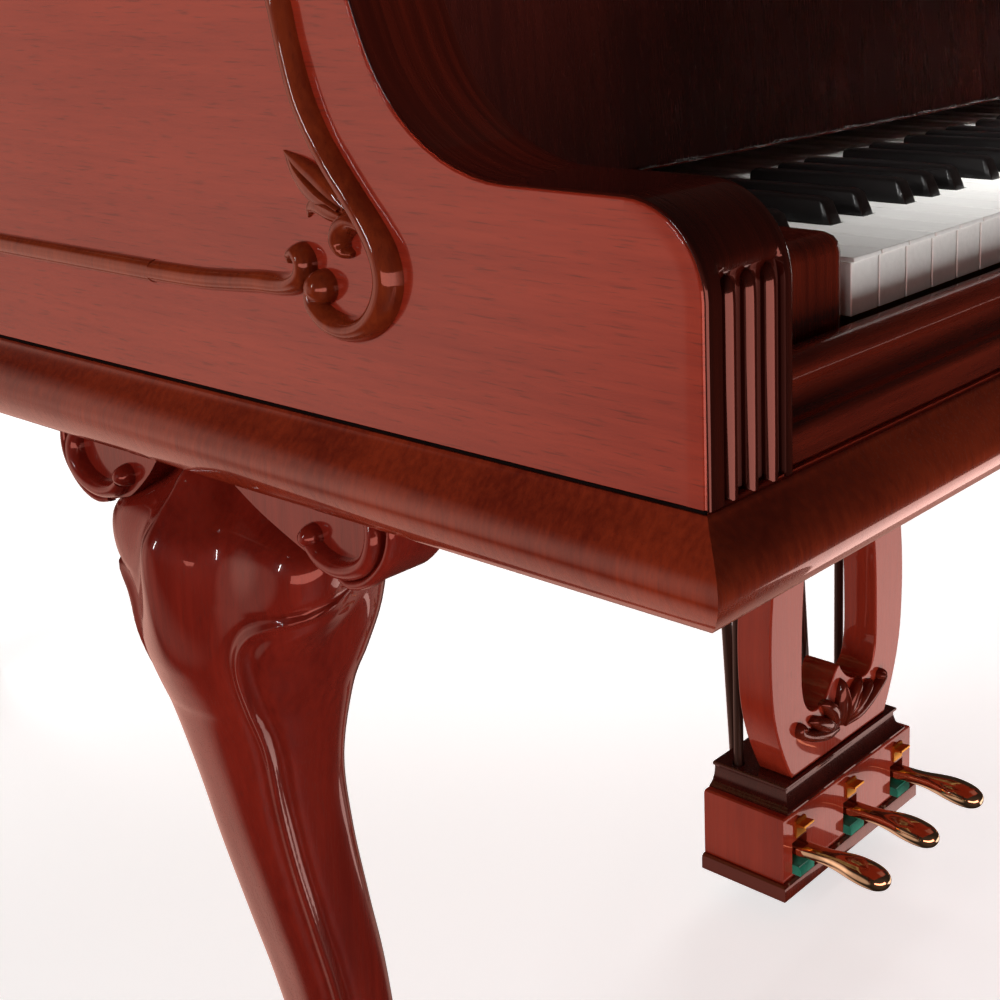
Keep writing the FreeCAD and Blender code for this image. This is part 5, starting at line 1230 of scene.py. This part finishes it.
for side, x in zip(("left", "middle", "right"), PEDAL_X):
    name = f"{side}_pedal_cast"
    hang(name, skin(name, [pedal_rings(x)]), brass, f"{side}_pedal", "brass", f"{side}_pedal")
guide_shells = [carried(GUIDE, [x + dx for dx in (-8, -7.6, 7.6, 8)]) for x in PEDAL_X]
pad_shells = [carried(PAD, [x + dx for dx in (-11.5, -11, 11, 11.5)]) for x in PEDAL_X]
hang("pedal_guide_plates", skin("pedal_guide_plates", guide_shells), guide_brass, "case", "brass",
     "pedal_guides")
hang("pedal_felts", bevelled(skin("pedal_felts", pad_shells), 0.6 * MM), green_felt, "case",
     "hammer_felt")

# %% [markdown]
# ## Strings and tuning pins
# The low notes have one or two strings wound with copper, the others three plain steel ones. Every
# string is a straight bar from its tuning pin to the plate, so the same sweep makes all of them.
# The pins repeat by hundreds: one small pin is set on a point for each string.

# %% Strings
NOTES, SINGLE_NOTES, BASS_NOTES = 88, 10, 26
AGRAFFE, TOP_LENGTH, OCTAVE_RATIO = -412.0, 54.0, 1.88
CASE_BACK, RIM_THICK, PAST_BRIDGE = 873.0, 114.0, 38.0
BASS_CLEAR, TREBLE_CLEAR = 105.0, 45.0
WIRE_HIGH, STRAND_PITCH, PIN_ROWS, PIN_ROW_PITCH, PIN_PITCH = 868.0, 2.4, -603.0, 30.0, 8.0
COIL, PIN_FOOT = 3.6, 0.863
CURVES = ((*SHOULDER_ARC, 1, SHOULDER_TURN), (*HOLLOW_ARC, -1, TAIL_TURN), (*TAIL_ARC, 1, 90))


def note_x(note):
    return (note + 0.5) * SPAN / NOTES - SPAN / 2


def back_edge(x, inset):
    """How far back the case reaches at one X, moved inwards."""
    for (middle, back), radius, bulge, turn in CURVES:
        reach = radius - bulge * inset
        if x > middle + bulge * reach * math.cos(math.radians(turn)):
            return back + bulge * math.sqrt(reach ** 2 - (x - middle) ** 2)
    return CASE_BACK - inset


def bridge_y(note):
    """Where a note's strings cross the bridge, kept clear of the rim."""
    length = TOP_LENGTH * OCTAVE_RATIO ** ((NOTES - 1 - note) / 12)
    clear = BASS_CLEAR if note < BASS_NOTES else TREBLE_CLEAR
    return min(AGRAFFE + length, back_edge(note_x(note), RIM_THICK) - clear)


bass_lines, treble_lines, pins = [], [], []
for note in range(NOTES):
    strands = 1 if note < SINGLE_NOTES else 2 if note < BASS_NOTES else 3
    for k in range(strands):
        aside = k - (strands - 1) / 2
        x = note_x(note) + aside * STRAND_PITCH
        pin_y = PIN_ROWS + PIN_ROW_PITCH * (note % 3) + aside * PIN_PITCH
        line = [(x, pin_y + COIL, WIRE_HIGH), (x, bridge_y(note) + PAST_BRIDGE, WIRE_HIGH)]
        (bass_lines if note < BASS_NOTES else treble_lines).append(line)
        pins.append((x * MM, pin_y * MM, PIN_FOOT))
bass = grown("bass_wires", SWEEP, lines_mesh("bass_paths", bass_lines),
             {"Radius": 1.1 * MM, "Sides": 8, "Stuff": copper})
hang("bass_wires", bass, copper, "case", "copper_wire", "bass_strings")
plain = grown("plain_wires", SWEEP, lines_mesh("plain_paths", treble_lines),
              {"Radius": 0.55 * MM, "Sides": 6, "Stuff": steel})
hang("plain_wires", plain, steel, "case", "steel_wire", "treble_strings")

# %% Tuning pins
def pin_tree():
    """A round pin standing on every point."""
    maker = Maker("tuning_pin_setter", (("Radius", "Float"), ("Height", "Float")))
    height = maker.given["Height"]
    shank = maker.node("GeometryNodeMeshCylinder", None,
                       {"Vertices": 10, "Radius": maker.given["Radius"], "Depth": height})
    rise = maker.node("ShaderNodeCombineXYZ", None, {"Z": height * 0.5})
    lifted = maker.node("GeometryNodeTransform", None, {"Geometry": shank, "Translation": rise})
    return maker.close(maker.node("GeometryNodeInstanceOnPoints", None,
                                  {"Points": maker.given["Geometry"], "Instance": lifted}))


pin_points = bpy.data.meshes.new("pin_points")
pin_points.from_pydata(pins, [], [])
pin_mesh = grown("tuning_pins_set", pin_tree(), pin_points,
                 {"Radius": 2.6 * MM, "Height": 31 * MM, "Stuff": blued})
hang("tuning_pins_set", pin_mesh, blued, "case", "blued_steel", "tuning_pins")

# %% [markdown]
# ## Studio
# The piano stands on a seamless white floor. What the lacquer mirrors matters most here: the world
# is dim but for a few soft pink glows, and each stands where one surface looks, so the side panel
# shines while the fallboard stays nearly black. Most lamps light the wood without showing in it;
# only a narrow strip, a low glow under the front and a red glow for the reeds do. The floor is
# kept out of the reflections too, and a lamp under it takes the place of its bounce. The camera
# itself sees a pale wall.

# %% Floor, world and lamps
FLOOR_REACH = 60.0
FLOOR = {"Roughness": 0.6, "Specular IOR Level": 0.2, "Base Color": (0.80, 0.80, 0.80, 1),
         "Emission Color": (1, 1, 1, 1), "Emission Strength": 0.64}
WORLD_BASE, WORLD_COLOUR, WALL_COLOUR = 0.03, (1.0, 0.52, 0.42, 1), (0.80, 0.79, 0.78, 1)
LOBES = (  # direction, where the glow starts and is full (cosines), strength
    ((-0.50, 0.85, -0.02), 0.84, 0.98, 0.85),
    ((0.05, 0.75, -0.67), 0.80, 0.97, 0.80),
    ((-0.86, 0.48, -0.18), 0.84, 0.97, 0.62),
    ((0.85, 0.20, -0.48), 0.95, 0.99, 0.40),
    ((-0.35, -0.93, -0.15), 0.20, 0.90, 0.04),
)
LAMPS = (  # name, place, aim, size, watts, spread of the beam in degrees
    ("key_lamp", (0.35, -0.56, 1.70), (0.35, -0.83, 0.73), (1.3, 0.20), 11, 55),
    ("side_lamp", (-3.6, -0.9, 1.2), (-0.75, -0.5, 0.60), (2.0, 1.6), 44, 180),
    ("front_bounce", (-0.6, -2.6, -1.2), (-0.2, -0.8, 0.6), (2.4, 1.6), 68, 180),
    ("rise_lamp", (-0.25, -1.25, 1.55), (-0.72, -0.69, 0.90), (0.1, 0.1), 0.25, 24),
    ("treble_lamp", (3.6, 0.9, 1.5), (0.6, 0.1, 0.7), (2.0, 1.6), 56, 180),
    ("lid_lamp", (0.9, 3.2, 3.4), (0.0, 0.3, 1.0), (2.0, 1.4), 80, 180),
    ("strip_lamp", (-3.2, -0.55, 1.7), (-0.75, -0.6, 0.8), (0.05, 0.9), 8, 180),
    ("low_glow", (1.0, -1.02, -0.25), (1.0, -1.02, 1.0), (1.2, 0.62), 4.6, 180),
    ("reed_glow", (-1.75, -2.9, 0.30), (-1.2, -0.87, 0.65), (4.9, 1.1), 82, 180),
)
floor_mesh = bpy.data.meshes.new("studio_floor")
corners = [(x * FLOOR_REACH, y * FLOOR_REACH, 0) for x, y in ((-1, -1), (1, -1), (1, 1), (-1, 1))]
floor_mesh.from_pydata(corners, [], [(0, 1, 2, 3)])
floor_mesh.materials.append(Finish("studio_floor", FLOOR).material)
floor = link("studio_floor", floor_mesh)
floor.visible_glossy = floor.visible_diffuse = floor.visible_shadow = False
floor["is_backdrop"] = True

world = bpy.data.worlds.new("studio_world")
bpy.context.scene.world = world
world.use_nodes = True
sky = Tree(world.node_tree)
look = sky.node("ShaderNodeTexCoord", out="Generated")
glow = WORLD_BASE
for direction, start, full, strength in LOBES:
    facing = sky.node("ShaderNodeVectorMath", {"operation": "DOT_PRODUCT"},
                      {0: look, 1: Vector(direction).normalized()}, "Value")
    glow = facing.between(start, full) * strength + glow
room = world.node_tree.nodes["Background"]
sky.feed(room.inputs["Color"], WORLD_COLOUR)
sky.feed(room.inputs["Strength"], glow)
wall = sky.node("ShaderNodeBackground", None, {"Color": WALL_COLOUR})
seen = sky.node("ShaderNodeLightPath", out="Is Camera Ray")
either = sky.node("ShaderNodeMixShader", None, {0: seen, 1: Value(sky, room.outputs[0]), 2: wall})
sky.feed(world.node_tree.nodes["World Output"].inputs["Surface"], either)


def lamp(name, place, aim, size, watts, spread):
    """A soft box that neither the camera nor the lacquer sees."""
    data = bpy.data.lights.new(name, "AREA")
    data.shape, data.size, data.size_y = "RECTANGLE", *size
    data.energy, data.spread = watts, math.radians(spread)
    item = link(name, data)
    item.location = place
    item.visible_camera = item.visible_glossy = False
    item.rotation_euler = (Vector(aim) - Vector(place)).to_track_quat("-Z", "Y").to_euler()
    return item


lamps = {row[0]: lamp(*row) for row in LAMPS}
for name in ("strip_lamp", "low_glow", "reed_glow"):
    lamps[name].visible_glossy = True
lamps["low_glow"].data.color = (1.0, 0.62, 0.55)
lamps["reed_glow"].data.color = (1.0, 0.32, 0.25)
lamps["reed_glow"].visible_diffuse = False
bpy.context.scene.view_settings.view_transform = "Standard"
print("studio with", len(lamps), "lamps")

# %% [markdown]
# ## Sizes
# Both boxes, the CAD piano's and the dressed piano's, are printed side by side. The dressed
# piano must keep the CAD piano's size.

# %% Sizes and finish
seen_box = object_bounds()
for label, box in (("CAD box", cad_box), ("dressed box", seen_box)):
    print(label, [[round(v, 4) for v in corner] for corner in box])
